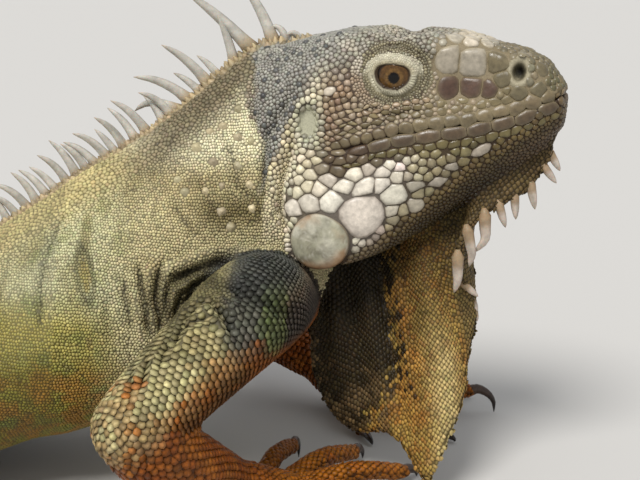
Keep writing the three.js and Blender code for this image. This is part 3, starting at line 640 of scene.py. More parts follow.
def head_relief(co, normal):
    """How far the head's skin rises or sinks: mouth, folds of the cheek, ear, nostril, brow, crown."""
    s, l, z = to_head(co)
    flat = np.stack([s, z], axis=1)
    _, facing, _ = to_head(normal + HEAD_AT)
    sideways = ease(0.15, 0.5, np.abs(facing))
    off_eye = 1 - bell(np.maximum(np.hypot(s, z - EYE_UP) - 9.0, 0), 2.0)
    mouth, along = line_distance(flat, MOUTH)
    below = z < lip_height(s)
    relief = np.where(s > -20, -1.1 * bell(mouth, 0.5), 0) * ease(-1, 4, along)
    relief += np.where(below, 0.35, 0.6) * bell(mouth - 1.9, 1.5) * ease(-18, -8, s)
    relief += 0.9 * bell(line_distance(flat, [[7, 154], [20, 152.5], [33, 151.5], [40, 150.5]])[0], 2.2)
    relief += mound(flat, [21, 141.5], [8, 5], -1.5)
    relief += mound(flat, [-14, 95], [15, 11], 0.9) + mound(flat, [-18, 139], [6, 4], 0.5)
    relief += dent(flat, [[-10, 135.5], [-4, 132.6], [3, 132.2], [11, 135.0]], 1.0, 1.2) * off_eye
    for drop, start in ((5.2, -19), (8.4, -16), (11.4, -12)):
        fold = [
            [start, 120.5 + drop * 0.9], [-8, 123.5 + drop * 0.85],
            [2, 127 + drop * 0.72], [10, 130 + drop * 0.55],
        ]
        relief += dent(flat, fold, 0.5, 0.9) * off_eye
    relief += dent(flat, [[-14, 141], [-12, 134], [-8, 129]], 0.6, 1.2)
    ear = ear_distance(s, z)
    relief += -1.6 * (1 - ease(0.75, 1.2, ear)) + 0.6 * bell(ear - 1.4, 0.25)
    relief *= sideways
    relief -= (1 - sideways) * bell(z - MOUTH[-1, 1], 0.6) * ease(46, 50, s)
    facing_out = ease(0.2, 0.6, np.abs(facing))
    nose = nostril_distance(s, z)
    relief += facing_out * (0.9 * bell(nose - 3.2, 1.0) - 3.4 * (1 - ease(1.35, 2.3, nose)))
    upward = ease(0.25, 0.75, normal[:, 2])
    relief -= upward * (2.7 * bell(s + 0.5, 4.6) + 0.9 * bell(s - 31, 6) + 0.7 * bell(s + 30, 8))
    relief -= upward * 0.8 * bell(l, 3.5) * ease(-22, -12, s) * (1 - ease(20, 30, s))
    relief += upward * 0.4 * noise(co, 4.2, 2)
    return relief + 0.14 * noise(co, 2.8, 3)


def neck_place(co):
    """Forward place on neck and shoulder, corrected for the turn of the head, and height."""
    turned = 0.3 * np.maximum(0, co[:, 1] + 22) * ease(160, 190, co[:, 0])
    return np.stack([co[:, 0] - turned, co[:, 2]], axis=1)


# Creases of the loose skin on neck, shoulder and flank, as forward place and height on the animal's
# side: line, depth and width.
BODY_CREASES = [
    ([[194, 151], [190, 139], [184, 130], [181, 124], [180, 116], [180.5, 108], [182, 99]], 1.5, 1.4),
    (
        [[196, 153], [195.5, 143], [194, 135], [192, 126], [188.5, 116], [186, 108], [186, 98], [190, 87]],
        3.0, 1.7,
    ),
    ([[199, 128], [196, 118], [192, 108], [191, 98]], 0.9, 1.0),
    ([[203, 124], [200, 116], [196, 106]], 0.7, 1.0),
    ([[173.5, 152], [174.5, 140], [175.5, 130], [179, 121]], 0.8, 1.4),
    ([[166, 124], [169.5, 118], [172.5, 107], [180, 101]], 1.0, 1.3),
    ([[157, 113], [163, 103], [167, 95]], 0.7, 1.3),
    ([[149, 106], [155, 97], [160, 91]], 0.7, 1.3),
    (
        [
            [150, 76], [152.5, 79.5], [159, 81.9], [165, 83.6], [172, 82.5],
            [178.4, 80.5], [185, 77.4], [189.5, 73.3], [192, 66],
        ],
        3.6, 1.9,
    ),
    ([[148, 87], [146.4, 80], [145.4, 73.3], [147, 66.4], [146.7, 58]], 2.7, 1.25),
    ([[150, 80], [148.8, 73.3], [149.6, 65]], 1.9, 1.0),
    ([[139.8, 86], [140.9, 78], [142.8, 70], [143.2, 64], [145.5, 57]], 2.2, 1.25),
    ([[134.5, 82], [136, 73], [138, 62]], 1.2, 1.3),
    ([[129, 79], [129.5, 68], [131.5, 56]], 0.8, 1.4),
    ([[165, 79.6], [158.5, 77.6], [154, 74.5], [152, 69.5], [151.5, 64]], 2.6, 1.1),
    ([[170, 77.5], [163, 76.4], [157.5, 73.8], [154.5, 69]], 2.2, 0.95),
    (
        [
            [153, 67], [155.5, 72.5], [158, 76.3], [162, 79.4],
            [165.3, 80.2], [168.7, 78.3], [171.6, 75], [174.5, 69],
        ],
        3.0, 1.2,
    ),
    ([[114, 100], [109, 88], [107, 77], [108, 62]], 0.9, 1.1),
    ([[97, 88], [93, 74], [92, 56]], 0.6, 1.4),
    ([[80, 76], [78, 60], [79, 40]], 0.5, 1.8),
    ([[20, 60], [16, 42], [18, 22]], 0.6, 2.4),
    ([[-22, 62], [-27, 44], [-24, 24]], 0.7, 2.4),
    ([[-40, 66], [-46, 52], [-44, 40]], 0.8, 2.0),
]


def shoulder_roll(co):
    """Where finely scaled skin still covers the top of the right arm, above a roll of skin."""
    x, z = neck_place(co).T
    roll = 80 - 0.055 * (x - 165.3) ** 2
    edge = x - 172 - 0.45 * (z - 79) + 1.2 * noise(co, 4, 9)
    return ease(-0.4, 0.8, z - roll) * ease(1.5, -1.5, edge) * ease(151, 154, x) * (co[:, 1] < 0)


def crease_shade(co):
    """How deep in a crease of the body points lie, up to 1."""
    side_view = neck_place(co)
    shade = np.zeros(len(co))
    for line, depth, width in BODY_CREASES:
        d, fade = crease_reach(side_view, line)
        shade = np.maximum(shade, fade * bell(d, width) * min(1, depth / 1.6))
    return shade


def body_relief(co, normal, place):
    """How far the skin rises or sinks behind the head: creases and ripples of the sides, small lumps."""
    side_view = neck_place(co)
    region = surface_region[place]
    on_limb = region == LIMB_REGION
    loose = np.select([np.isin(region, [TORSO_REGION, HEAD_REGION]), on_limb], [1.0, 0.3], 0.0)
    by_shoulder = 0.7 * ease(176, 172, co[:, 0]) * ease(58, 62, co[:, 2]) * (co[:, 1] < 0)
    loose = np.where(on_limb, loose + by_shoulder, loose)
    loose *= ~np.isin(place, [p for p, s in enumerate(surfaces) if s["part"] in ("fore", "palm", "digit")])
    sideways = ease(0.12, 0.45, np.abs(normal[:, 1])) * loose
    relief = np.zeros(len(co))
    for line, depth, width in BODY_CREASES:
        relief += dent(side_view, line, depth, width)
    wave = side_view @ np.array([1.0, 0.25]) / 3.6 + 1.8 * noise(co, 22, 8)
    ripples = 0.4 * np.sin(wave) * ease(-80, -30, co[:, 0])
    return sideways * (relief + ripples) + 0.35 * noise(co, 8.0, 5) * (region == TORSO_REGION)


def lightened(mesh, calm, share):
    """The skin with fewer faces where it is calm."""
    holder = bpy.data.objects.new("calm_skin", mesh)
    bpy.context.scene.collection.objects.link(holder)
    holder.vertex_groups.new(name="calm").add(np.flatnonzero(calm).tolist(), 1.0, "REPLACE")
    fewer = holder.modifiers.new("fewer_faces", "DECIMATE")
    fewer.ratio = share
    fewer.vertex_group = "calm"
    light = bpy.data.meshes.new_from_object(holder.evaluated_get(bpy.context.evaluated_depsgraph_get()))
    bpy.data.objects.remove(holder)
    return light


skin = remeshed_skin()
co = coordinates(skin)
tag = lattice_place[nearest_lattice(co)]
ends = edge_ends(skin)
seam = (tag[ends[:, 0]] != tag[ends[:, 1]]).astype(float)
joint = np.bincount(ends[:, 0], seam, len(co)) + np.bincount(ends[:, 1], seam, len(co)) > 0
fillet = joint.astype(float)[:, None]
for _ in range(FILLET_RINGS):
    fillet = np.maximum(fillet, around_mean(fillet, ends) * 0.97)
in_digit = surface_region[tag] == DIGIT_REGION
fillet = np.clip(fillet[:, 0] * 1.6 - 0.5, 0, 1) * np.where(in_digit, 0.25, 1) * ~near_eye(co, 13)
co = fair(co, ends, np.ones(len(co)), 4)
co = fair(co, ends, fillet, 20, keep_volume=False)
set_coordinates(skin, co)

folded = (co[:, 0] > 138) & (co[:, 0] < 206) & (co[:, 2] > 58) & (np.abs(co[:, 1]) > 8)
on_head = (surface_region[tag] == HEAD_REGION) & (to_head(co)[0] > -44) | near_eye(co, 12)
refine(skin, on_head | folded & (surface_region[tag] != DEWLAP_REGION))
co = coordinates(skin)
s_at, l_at, z_at = to_head(co)
near_nostril = (np.hypot(s_at - NOSTRIL[0], z_at - NOSTRIL[1]) < 5.5) & (np.abs(l_at) > 4)
off_mouth, _ = line_distance(np.stack([s_at, z_at], axis=1), MOUTH)
near_mouth = (off_mouth < 1.7) & (s_at > -18) & (np.abs(l_at) > 5)
refine(skin, near_eye(co, 12) & (np.abs(l_at) > EYE_SIDE) | near_nostril | near_mouth)
co, ends = coordinates(skin), edge_ends(skin)
fine_skin = (to_head(co)[0] > -42) | (co[:, 0] > 140) & (co[:, 2] > 60)
co = fair(co, ends, fine_skin * 0.9, 5)
set_coordinates(skin, co)
normals = vertex_normals(skin)
tag = lattice_place[nearest_lattice(co)]
head_share = ease(-37, -30, to_head(co)[0]) * (surface_region[tag] == HEAD_REGION)
shift = head_relief(co, normals) * head_share + body_relief(co, normals, tag) * (1 - head_share)
co = co + normals * shift[:, None]
co = shape_lids(co)
co[:, 2] = np.maximum(co[:, 2], FLOOR_CLEARANCE)
set_coordinates(skin, co)
calm = ~np.isin(surface_region[tag], [HEAD_REGION, DIGIT_REGION]) & ((co[:, 0] < 138) | (co[:, 2] < 58))
dense = sum(len(polygon.vertices) - 2 for polygon in skin.polygons)
skin = lightened(skin, calm, SKIN_TRIANGLES / dense)
co = coordinates(skin)
normals = vertex_normals(skin)
vertex_found = nearest_lattice(co)
tag, skin_share = lattice_place[vertex_found], lattice_share[vertex_found]
skin_region = surface_region[tag]

# ---- Colours -------------------------------------------------------------------------------------
IVORY = paint(220, 212, 196)
CHALK = paint(196, 186, 166)
STONE = paint(100, 91, 68)
BARK = paint(76, 55, 43)
CHEEK = paint(146, 131, 108)
CROWN = paint(148, 143, 128)
LID_PALE = paint(188, 182, 158)
LID_GREEN = paint(128, 120, 94)
GROOVE = paint(70, 46, 32)
NAPE_BLUE = paint(146, 144, 134)
NAPE_DARK = paint(80, 80, 78)
NECK_TAN = paint(192, 178, 134)
NECK_BROWN = paint(146, 130, 88)
NECK_PALE = paint(184, 172, 138)
NECK_FOLD = paint(212, 200, 164)
FLANK = paint(202, 204, 170)
FLANK_GREEN = paint(160, 176, 146)
FLANK_GOLD = paint(170, 148, 66)
FLANK_RUST = paint(150, 106, 42)
FLANK_DARK = paint(102, 100, 68)
BELLY = paint(188, 174, 122)
SLATE = paint(74, 76, 72)
ARM_GREY = paint(176, 166, 120)
ARM_RUST = paint(170, 96, 30)
FOREARM = paint(130, 68, 16)
FINGER = paint(144, 86, 17)
LEG_OLIVE = paint(138, 128, 76)
TAIL_PALE = paint(158, 148, 106)
TAIL_DARK = paint(78, 72, 52)
LAP_GOLD = paint(150, 124, 62)
# Pale dewlap scales, also used as a painted highlight.
LAP_PALE_AND_HIGHLIGHT = paint(192, 175, 120)
LAP_RUST = paint(156, 104, 42)
LAP_DARK = paint(23, 19, 11)
# Painted shade under the jaw.
UNDERJAW_SHADE = paint(50, 40, 20)
UMBER = paint(58, 44, 28)
HORN_PALE = paint(186, 182, 172)
HORN_GREY = paint(128, 126, 118)
MOSS = paint(104, 118, 62)


def jaw_edge(s):
    """Height of the lower jaw's edge at a forward place on the head."""
    return np.interp(s, [-40, -31, -17, -3, 14, 28, 44, 53], [84, 77, 77.5, 86, 101, 113.5, 124.5, 131])


# Front border of the nape, as forward place and height: from the jaw's corner up to the crown.
NAPE_FRONT = np.array([
    [180.5, 101], [181.5, 109], [183, 116], [186.5, 123], [189.5, 130], [195, 140], [201, 150], [210, 160],
])


def nape_share(co):
    """Where the blue-grey skin of the nape lies, between two slanting borders."""
    x, z = neck_place(co).T
    rear = np.interp(z, [107, 121, 130, 143, 150], [180, 179.5, 175, 174, 172])
    front = np.interp(z, NAPE_FRONT[:, 1], NAPE_FRONT[:, 0])
    wave = 2.0 * noise(co, 5, 17)
    soft = 0.8 + 5 * ease(126, 146, z)
    return ease(-1.2, 1.6, x - rear + wave) * ease(soft, -soft, x - front + wave) * ease(102, 108, z)


def neck_markings(colour, co):
    """Adds nape, fold and pale strip behind the jaw to the colours of head and torso."""
    lay = partial(wash, colour)
    x, z = neck_place(co).T
    front = np.interp(z, NAPE_FRONT[:, 1], NAPE_FRONT[:, 0])
    inner = np.interp(z, [86, 98, 108, 116, 126, 135, 143, 153], [190, 186, 186, 188.5, 192, 194, 195.5, 197])
    fold = ease(-0.8, 0.8, x - front) * ease(0.8, -0.6, x - inner) * ease(152, 146, z)
    lay(NECK_FOLD, fold * ease(84, 92, z) * 0.85)
    strip = ease(-0.6, 0.8, x - inner) * ease(203, 197, x) * ease(150, 140, z)
    lay(paint(216, 206, 176), strip * ease(84, 96, z) * 0.85)
    return lay(NAPE_BLUE * (1 + 0.25 * noise(co, 3.2, 19))[:, None], nape_share(co) * 0.95)


def head_markings(co):
    s, l, z = to_head(co)
    flat = np.stack([s, z], axis=1)
    colour = plain(CROWN, len(co))
    lay = partial(wash, colour)
    patch, fine = clouds(co, 9, 21), clouds(co, 4, 24)
    lip = lip_height(s)
    lay(paint(112, 100, 84), ease(0.0, 0.5, fine) * 0.5)
    lay(CHEEK, ease(150, 140, z) * 0.9)
    lay(paint(122, 102, 80), ease(-0.1, 0.5, patch) * ease(152, 142, z) * 0.6)
    warm = mound(flat, [-15, 141], [7, 5], 0.3) + mound(flat, [-22, 131], [6, 6], 0.25)
    lay(paint(160, 124, 90), warm)
    lay(CHALK, ease(0.05, 0.5, clouds(co, 6, 27)) * ease(18, -10, s) * ease(138, 146, z) * 0.6)
    lay(CHALK, ease(12, 20, s) * (1 - ease(28, 31, s)) * ease(143, 148, z) * 0.9)
    lay(paint(190, 186, 162), ease(156, 160, z) * bell(s + 2, 12) * 0.6)
    lay(paint(108, 96, 70), ease(30, 33, s) * 0.8)
    lay(paint(94, 86, 58), ease(30, 33, s) * ease(0.0, 0.4, fine) * 0.5)
    lay(paint(84, 80, 50), ease(42, 50, s) * ease(154, 146, z) * 0.7)
    lay(paint(190, 138, 112), ease(51, 54.5, s) * ease(142, 136, z) * 0.5)
    under = lip - z
    lay(paint(86, 73, 52), ease(0, 1.5, under) * (1 - ease(7.5, 9.5, under)) * 0.85)
    lay(IVORY, ease(7, 10.5, under) * (1 - ease(6, 36, s) * 0.35))
    fore_jaw = ease(-3, 9, s + 0.35 * (104 - z) + 5 * fine) * ease(6, 8, under)
    lay(paint(128, 116, 76), fore_jaw * 0.85)
    lay(paint(80, 73, 36), ease(12, 34, s) * ease(4, 8, under) * 0.85)
    edge = z - jaw_edge(s)
    # Darker towards the jaw's lower edge; under the edge, painted shade beneath the jaw, a little lighter
    # under the chin.
    lay(paint(96, 78, 42), ease(7.5, 3.0, edge) * 0.9)
    lay(paint(64, 52, 26), ease(2, -1.5, edge))
    lay(UNDERJAW_SHADE, ease(-2, -8, edge) * 0.9)
    lay(paint(84, 66, 42), ease(30, 46, s) * ease(0, -4, edge) * 0.8)
    neck_markings(colour, co)
    d, _ = lid_distance(s, z)
    on_lid = near_eye(co, 13.5) & (np.abs(l) > EYE_SIDE + 2)
    top = ease(-1.5, 2, z - EYE_UP)
    ring = 0.5 + 0.5 * np.cos((d - 2.6) * 2 * np.pi / 1.8)
    folds = LID_GREEN[None] * (0.68 + 0.42 * ring[:, None])
    rims = (1 - ease(3.4, 4.1, d)) * top + (1 - ease(1.6, 2.1, d)) * (1 - top) * 0.9
    wash(folds, LID_PALE, rims)
    wash(folds, paint(150, 138, 106), top * (1 - ease(0.2, 2.2, d)) * 0.6)
    wash(folds, UMBER, 1 - ease(-0.25, 0.35, d))
    lay(folds, on_lid * (1 - ease(6.6, 8.8, d)))
    nose = nostril_distance(s, z)
    lay(paint(160, 152, 128), bell(nose - 3.0, 1.4) * (np.abs(l) > 4) * 0.95)
    # Dark pit of the nostril, near black at its middle: painted shade in the recess.
    lay(paint(78, 74, 58), (1 - ease(1.7, 2.5, nose)) * (np.abs(l) > 4))
    lay(paint(30, 26, 20), (1 - ease(0.6, 1.7, nose)) * (np.abs(l) > 4))
    lay(paint(176, 174, 150), (1 - ease(1.0, 1.9, ear_distance(s, z))) * (np.abs(l) > 15))
    mouth, _ = line_distance(flat, MOUTH)
    return lay(paint(72, 52, 38), bell(mouth, 0.35) * ease(-19, -14, s))


def height_round(share):
    """From 0 under the belly to 1 on the ridge of the back, by the place round torso or tail."""
    return np.clip(1 - 2 * np.abs(share[:, 1] - 0.5), 0, 1)


def torso_markings(co, share):
    x, y, z = co.T
    patch, fine = clouds(co, 30, 31), clouds(co, 6, 35)
    height = height_round(share)
    colour = plain(FLANK, len(co))
    lay = partial(wash, colour)
    lay(FLANK_GREEN, ease(-0.1, 0.6, patch) * 0.7)
    lay(FLANK_DARK, ease(0.12, 0.6, clouds(co * [1.8, 1, 0.6], 13, 52)) * 0.6)
    lay(paint(146, 138, 102), ease(0.25, 0.7, clouds(co, 9, 57)) * 0.35)
    low = ease(0.56, 0.3, height + 0.14 * patch)
    rear = ease(110, 40, x)
    lay(FLANK_GOLD, low * (0.3 + 0.4 * rear))
    # Golden-olive lower flank, darker towards the bottom: its own colour, darkened in part as painted shade.
    gold = ease(78, 62, z + 6 * patch) * ease(144, 126, x) * ease(30, 70, x)
    lay(paint(158, 144, 56), gold * 0.85)
    lay(paint(114, 108, 30), ease(60, 46, z + 5 * patch) * gold * 0.8)
    lay(paint(108, 118, 60), gold * ease(0.0, 0.5, fine) * 0.6)
    lay(UMBER * 1.6, gold * ease(0.25, 0.6, clouds(co, 2.6, 59)) * 0.6)
    rusty = ease(58, 42, z + 5 * patch) * gold * ease(-0.3, 0.3, clouds(co, 5, 60))
    lay(FLANK_RUST, rusty * 0.8)
    lay(FLANK_RUST, low * rear * ease(0.1, 0.5, fine + 0.3 * patch) * 0.5)
    lay(paint(132, 140, 84), low * ease(-0.1, -0.5, fine) * 0.5)
    shoulder_pale = ease(108, 86, x) * ease(64, 82, z) * ease(0.95, 0.8, height)
    lay(paint(218, 212, 160), shoulder_pale * 0.5)
    lay(BELLY, ease(0.25, 0.12, height))
    neck = ease(118, 148, x + 6 * patch)
    lay(NECK_TAN, neck * 0.85)
    lay(NECK_BROWN, neck * ease(0.0, 0.5, fine + 0.3 * patch) * 0.45)
    lay(paint(240, 233, 196), neck * ease(110, 120, z) * (0.85 + 0.3 * fine))
    # Dark band low on the neck over the shoulder: painted shade of the fold above the arm.
    lay(paint(104, 91, 52), neck * bell(z - 99, 6) * ease(152, 166, x) * 0.85)
    lay(paint(176, 166, 126), neck * ease(93, 89, z) * ease(148, 158, x) * 0.6)
    lay(paint(198, 186, 146), ease(118, 150, x) * ease(0.6, 0.8, height) * 0.6)
    scar = np.hypot((x - 122 - 0.2 * (83 - z)) / 2.0, (z - 81) / 6.0)
    lay(FLANK_DARK * 0.8, bell(scar - 1.35, 0.4) * 0.7)
    lay(paint(148, 136, 86), 1 - ease(0.6, 1.1, scar))
    # Dark olive in the hollow under the neck fold, above the arm: painted shade in the recess.
    shaded_hollow = np.hypot((x - 160) / 19, (z - 73) / 16)
    shaded_hollow = np.where(z > 82, 2, shaded_hollow)
    lay(paint(96, 88, 56), (1 - ease(0.5, 1.2, shaded_hollow)) * 0.85 * (np.abs(y) > 15))
    lay(SLATE, ease(1.15, 0.7, np.hypot((x - 172) / 12, (z - 74) / 14)) * 0.9 * (np.abs(y) > 15))
    # Dark brown under the neck and chest: painted shade on the underside.
    throat = ease(0.28, 0.14, height) * ease(120, 150, x)
    lay(paint(84, 68, 42), throat * 0.85)
    lay(paint(156, 132, 90), ease(0.985, 0.996, height) * 0.85)
    lay(tail_base(co, 0.0 * x, patch), ease(-40, -108, x + 8 * patch) * ease(0.16, 0.3, height))
    bands = ease(0.35, 0.9, np.sin(x / 13.0 + 0.9 * patch)) * ease(70, 10, x) * ease(0.3, 0.5, height)
    lay(FLANK_DARK, bands * 0.5)
    colour *= (1 - 0.62 * crease_shade(co) * (np.abs(y) > 12))[:, None]
    return neck_markings(colour, co)


def tail_base(co, walk, patch):
    colour = wash(plain(TAIL_PALE, len(co)), FLANK, ease(160, 0, walk) * 0.6)
    return wash(colour, FLANK_GOLD, ease(-0.2, 0.6, patch) * ease(120, 0, walk) * 0.3)


def tail_markings(co, share):
    u, height = share[:, 0], height_round(share)
    patch = clouds(co, 14, 41)
    walk = u * TAIL_LENGTH
    colour = tail_base(co, walk, patch)
    band = ease(-0.3, 0.5, np.sin(2 * np.pi * walk / (62 - 18 * u) + 1.1 * patch))
    wash(colour, TAIL_DARK, band * ease(30, 190, walk) * ease(0.08, 0.5, height + 0.15 * patch) * 0.85)
    return wash(colour, BELLY, ease(0.22, 0.08, height) * 0.7)


def dewlap_markings(co, share):
    u, v = share.T
    depth = 1 - np.abs(2 * v - 1)
    patch, fine, single = clouds(co, 16, 61), clouds(co, 4.5, 65), clouds(co, 2.0, 69)
    colour = plain(LAP_GOLD, len(co))
    lay = partial(wash, colour)
    lay(LAP_RUST, ease(0.0, 0.5, fine + 0.2 * patch) * 0.5)
    speck = clouds(co, 1.5, 64)
    lay(LAP_RUST * 0.72, ease(0.05, 0.35, speck) * 0.75)
    # Pale ridge down the front lobe, on the crest of a pleat: partly pale scales, partly a painted highlight.
    ridge = u - 0.51 + 0.015 * patch
    lay(LAP_PALE_AND_HIGHLIGHT, bell(ridge, 0.035) * ease(0.2, 0.55, depth) * (0.9 + 0.3 * fine))
    lay(LAP_PALE_AND_HIGHLIGHT * 0.8, bell(ridge, 0.08) * ease(0.6, 0.9, depth) * ease(-0.3, 0.2, speck) * 0.6)
    lay(paint(92, 86, 54), ease(-0.05, -0.12, ridge) * 0.85)
    lay(paint(70, 64, 40), ease(-0.08, -0.2, ridge) * ease(-0.2, 0.4, fine + single) * 0.7)
    lower = ease(0.35, 0.9, depth)
    dark = ease(0.51, 0.76, u - 0.17 * lower * ease(0.95, 0.75, u) + 0.05 * patch)
    lay(LAP_RUST, bell(dark - 0.25, 0.2) * 0.5)
    border = 4 * dark * (1 - dark) * (0.8 * single + 0.5 * speck)
    lay(LAP_DARK, ease(0.38, 0.62, dark + border) * 0.93)
    # Darker along the root of the dewlap: painted shade under the jaw.
    lay(LAP_DARK * 1.8, ease(0.5, 0.12, depth + 0.12 * fine) * ease(0.3, 0.42, u) * 0.6)
    mottled = ease(0.68, 0.72, u) * ease(0.45, 0.7, depth + 0.15 * fine)
    lay(paint(108, 88, 58), mottled * ease(-0.35, 0.35, single + 0.4 * fine) * 0.85)
    lay(paint(90, 74, 46), ease(0.34, 0.22, u) * 0.9)
    # Dark brown along the root of the front part: painted shade under the jaw.
    return lay(paint(66, 53, 30), ease(0.3, 0.18, u) * ease(0.55, 0.2, depth) * 0.8)


def upper_arm_markings(base, p, u, patch, fine, rust):
    lay = partial(wash, base)
    x, _, z = p.T
    lay(paint(128, 116, 76), ease(0.0, 0.5, patch) * 0.5)
    below = 51 + 0.657 * (x - 143) - z + 3 * patch
    lay(ARM_RUST, ease(0, 8, below) * (0.45 + 0.5 * rust) + ease(0.8, 0.95, u) * 0.65 * rust)
    lay(ARM_RUST, ease(0.2, 0.5, fine) * 0.8 * ease(0.15, 0.35, u) * ease(68, 62, z))
    lay(paint(138, 110, 56), ease(44, 26, z) * 0.5)
    # Deep brown on the underside of the upper arm: partly its own colour, partly painted shade.
    lay(paint(92, 54, 12), ease(5, 14, below) * 0.9)
    lay(ARM_RUST * 0.6, ease(176, 182, x) * ease(68, 60, z) * 0.85)
    slate = np.hypot((x - 178) / 10, (z - 78) / 15) + 0.4 * fine + 0.3 * patch
    lay(SLATE, ease(1.25, 0.6, slate) * 0.9)
    lay(SLATE * 0.5, ease(178, 186, x) * ease(58, 66, z) * 0.85)
    green = np.hypot((x - 185.5) / 4.5, (z - 74) / 13) + 0.4 * fine
    lay(MOSS, ease(1.1, 0.7, green) * (0.35 + 0.45 * rust))
    lay(paint(112, 104, 68), shoulder_roll(p) * ease(176, 164, x) * 0.9)
    lay(SLATE * 0.7, ease(78, 84, z) * ease(168, 174, x) * 0.85)
    base *= (1 - 0.62 * crease_shade(p) * (p[:, 1] < 0))[:, None]


def limb_markings(co, share, place):
    colour = np.zeros((len(co), 3))
    for number in np.unique(place):
        mine = place == number
        surface = surfaces[number]
        p, u = co[mine], share[mine, 0]
        patch, fine = clouds(p, 12, 71), clouds(p, 4, 75)
        rust = ease(-0.2, 0.5, fine * 0.8 + 0.3 * patch)
        arm, part = "arm" in surface["limb"], surface["part"]
        if part in ("palm", "digit"):
            ground = FINGER if arm else paint(150, 116, 56)
        elif arm:
            ground = ARM_GREY if part == "upper" else FOREARM
        else:
            ground = LEG_OLIVE
        base = plain(ground, len(p))
        lay = partial(wash, base)
        if part in ("palm", "digit"):
            lay(paint(152, 78, 24) if arm else LEG_OLIVE, rust * 0.5)
            if part == "palm" and arm:
                lay(FOREARM, ease(0.6, 0.2, u) * 0.7)
        elif part == "upper" and arm:
            upper_arm_markings(base, p, u, patch, fine, rust)
        elif arm:
            lay(paint(172, 108, 38), rust * 0.45)
            lay(paint(106, 58, 22), ease(0.1, 0.6, patch) * 0.5)
            lay(ARM_GREY, ease(0.2, 0.05, u) * 0.6)
        else:
            lay(paint(176, 166, 122), ease(0.1, 0.5, fine) * 0.5)
            lay(FLANK_GOLD, ease(0.0, 0.6, patch) * 0.45)
            lay(ARM_RUST, rust * ease(40, 20, p[:, 2]) * 0.6)
            if part == "upper":
                lay(paint(184, 178, 130), ease(0.72, 0.34, u + 0.05 * patch) * 0.85)
        colour[mine] = base
    return colour


def markings(co, place, share):
    """The animal's colour at points of its skin, before each scale's own variation; in places it holds
    painted shade and painted highlights.
    """
    colour = np.zeros((len(co), 3))
    region = surface_region[place]
    colour[region == HEAD_REGION] = head_markings(co[region == HEAD_REGION])
    painters = {TORSO_REGION: torso_markings, TAIL_REGION: tail_markings, DEWLAP_REGION: dewlap_markings}
    for number, painter in painters.items():
        mine = region == number
        colour[mine] = painter(co[mine], share[mine])
    mine = np.isin(region, [LIMB_REGION, DIGIT_REGION])
    colour[mine] = limb_markings(co[mine], share[mine], place[mine])
    return colour


# ---- Materials -----------------------------------------------------------------------------------
def node(tree, kind, **inputs):
    made = tree.nodes.new(kind)
    for key, value in inputs.items():
        made.inputs[key.replace("_", " ")].default_value = value
    return made


def finish_of(name, rough, grain, mottle, bump=0.12, bump_grain=2600.0, specular=0.3, subsurface=0.0):
    """A procedural finish over the piece's own tone: mottled colour, uneven gloss and fine relief."""
    material = bpy.data.materials.new(name)
    material.use_nodes = True
    tree = material.node_tree
    shader = tree.nodes["Principled BSDF"]
    shader.inputs["Specular IOR Level"].default_value = specular
    if subsurface:
        shader.inputs["Subsurface Weight"].default_value = subsurface
        shader.inputs["Subsurface Scale"].default_value = 0.002
    place = tree.nodes.new("ShaderNodeTexCoord")
    tone = tree.nodes.new("ShaderNodeAttribute")
    tone.attribute_name = "tone"
    speck = node(tree, "ShaderNodeTexNoise", Scale=grain, Detail=3.0, Roughness=0.6)
    level = node(tree, "ShaderNodeMapRange", From_Min=0.3, From_Max=0.7, To_Min=1 - mottle, To_Max=1 + mottle)
    tint = tree.nodes.new("ShaderNodeVectorMath")
    tint.operation = "SCALE"
    sheen = node(tree, "ShaderNodeTexNoise", Scale=grain * 0.35, Detail=2.0)
    gloss = node(tree, "ShaderNodeMapRange", From_Min=0.3, From_Max=0.7, To_Min=rough[0], To_Max=rough[1])
    relief = node(tree, "ShaderNodeTexNoise", Scale=bump_grain, Detail=3.0)
    raised = node(tree, "ShaderNodeBump", Strength=bump, Distance=0.0004)
    for source, output, target, entry in (
        (place, "Object", speck, "Vector"), (speck, "Fac", level, "Value"), (tone, "Color", tint, 0),
        (level, "Result", tint, "Scale"), (tint, "Vector", shader, "Base Color"),
        (place, "Object", sheen, "Vector"), (sheen, "Fac", gloss, "Value"),
        (gloss, "Result", shader, "Roughness"), (place, "Object", relief, "Vector"),
        (relief, "Fac", raised, "Height"), (raised, "Normal", shader, "Normal"),
    ):
        tree.links.new(source.outputs[output], target.inputs[entry])
    return material


skin_finish = finish_of("soft_skin_between_scales", rough=(0.5, 0.7), grain=1800, mottle=0.18, bump=0.3)
granule_finish = finish_of("granular_body_scales", rough=(0.36, 0.55), grain=900, mottle=0.14)
keeled_finish = finish_of("keeled_limb_scales", rough=(0.34, 0.54), grain=1100, mottle=0.24, specular=0.22)
plate_finish = finish_of(
    "smooth_head_plates", rough=(0.24, 0.42), grain=520, mottle=0.24,
    bump=0.16, bump_grain=1500, specular=0.46,
)
lap_finish = finish_of("dewlap_scales", rough=(0.36, 0.54), grain=700, mottle=0.26, specular=0.18)
tail_finish = finish_of("tail_scales", rough=(0.42, 0.62), grain=900, mottle=0.2)
horn_finish = finish_of(
    "crest_horn", rough=(0.4, 0.6), grain=420, mottle=0.2, bump=0.25, bump_grain=1500, subsurface=0.12,
)
claw_finish = finish_of(
    "dark_claw_horn", rough=(0.22, 0.4), grain=600, mottle=0.25, bump=0.12, bump_grain=900, specular=0.5,
)
shield_finish = finish_of(
    "jowl_shield_plate", rough=(0.26, 0.44), grain=320, mottle=0.26,
    bump=0.3, bump_grain=700, specular=0.42,
)
drum_finish = finish_of(
    "eardrum_membrane", rough=(0.3, 0.45), grain=700, mottle=0.12, bump=0.1, subsurface=0.1,
)
eye_finish = finish_of("wet_eye", rough=(0.05, 0.1), grain=1500, mottle=0.3, bump=0.02, specular=0.28)


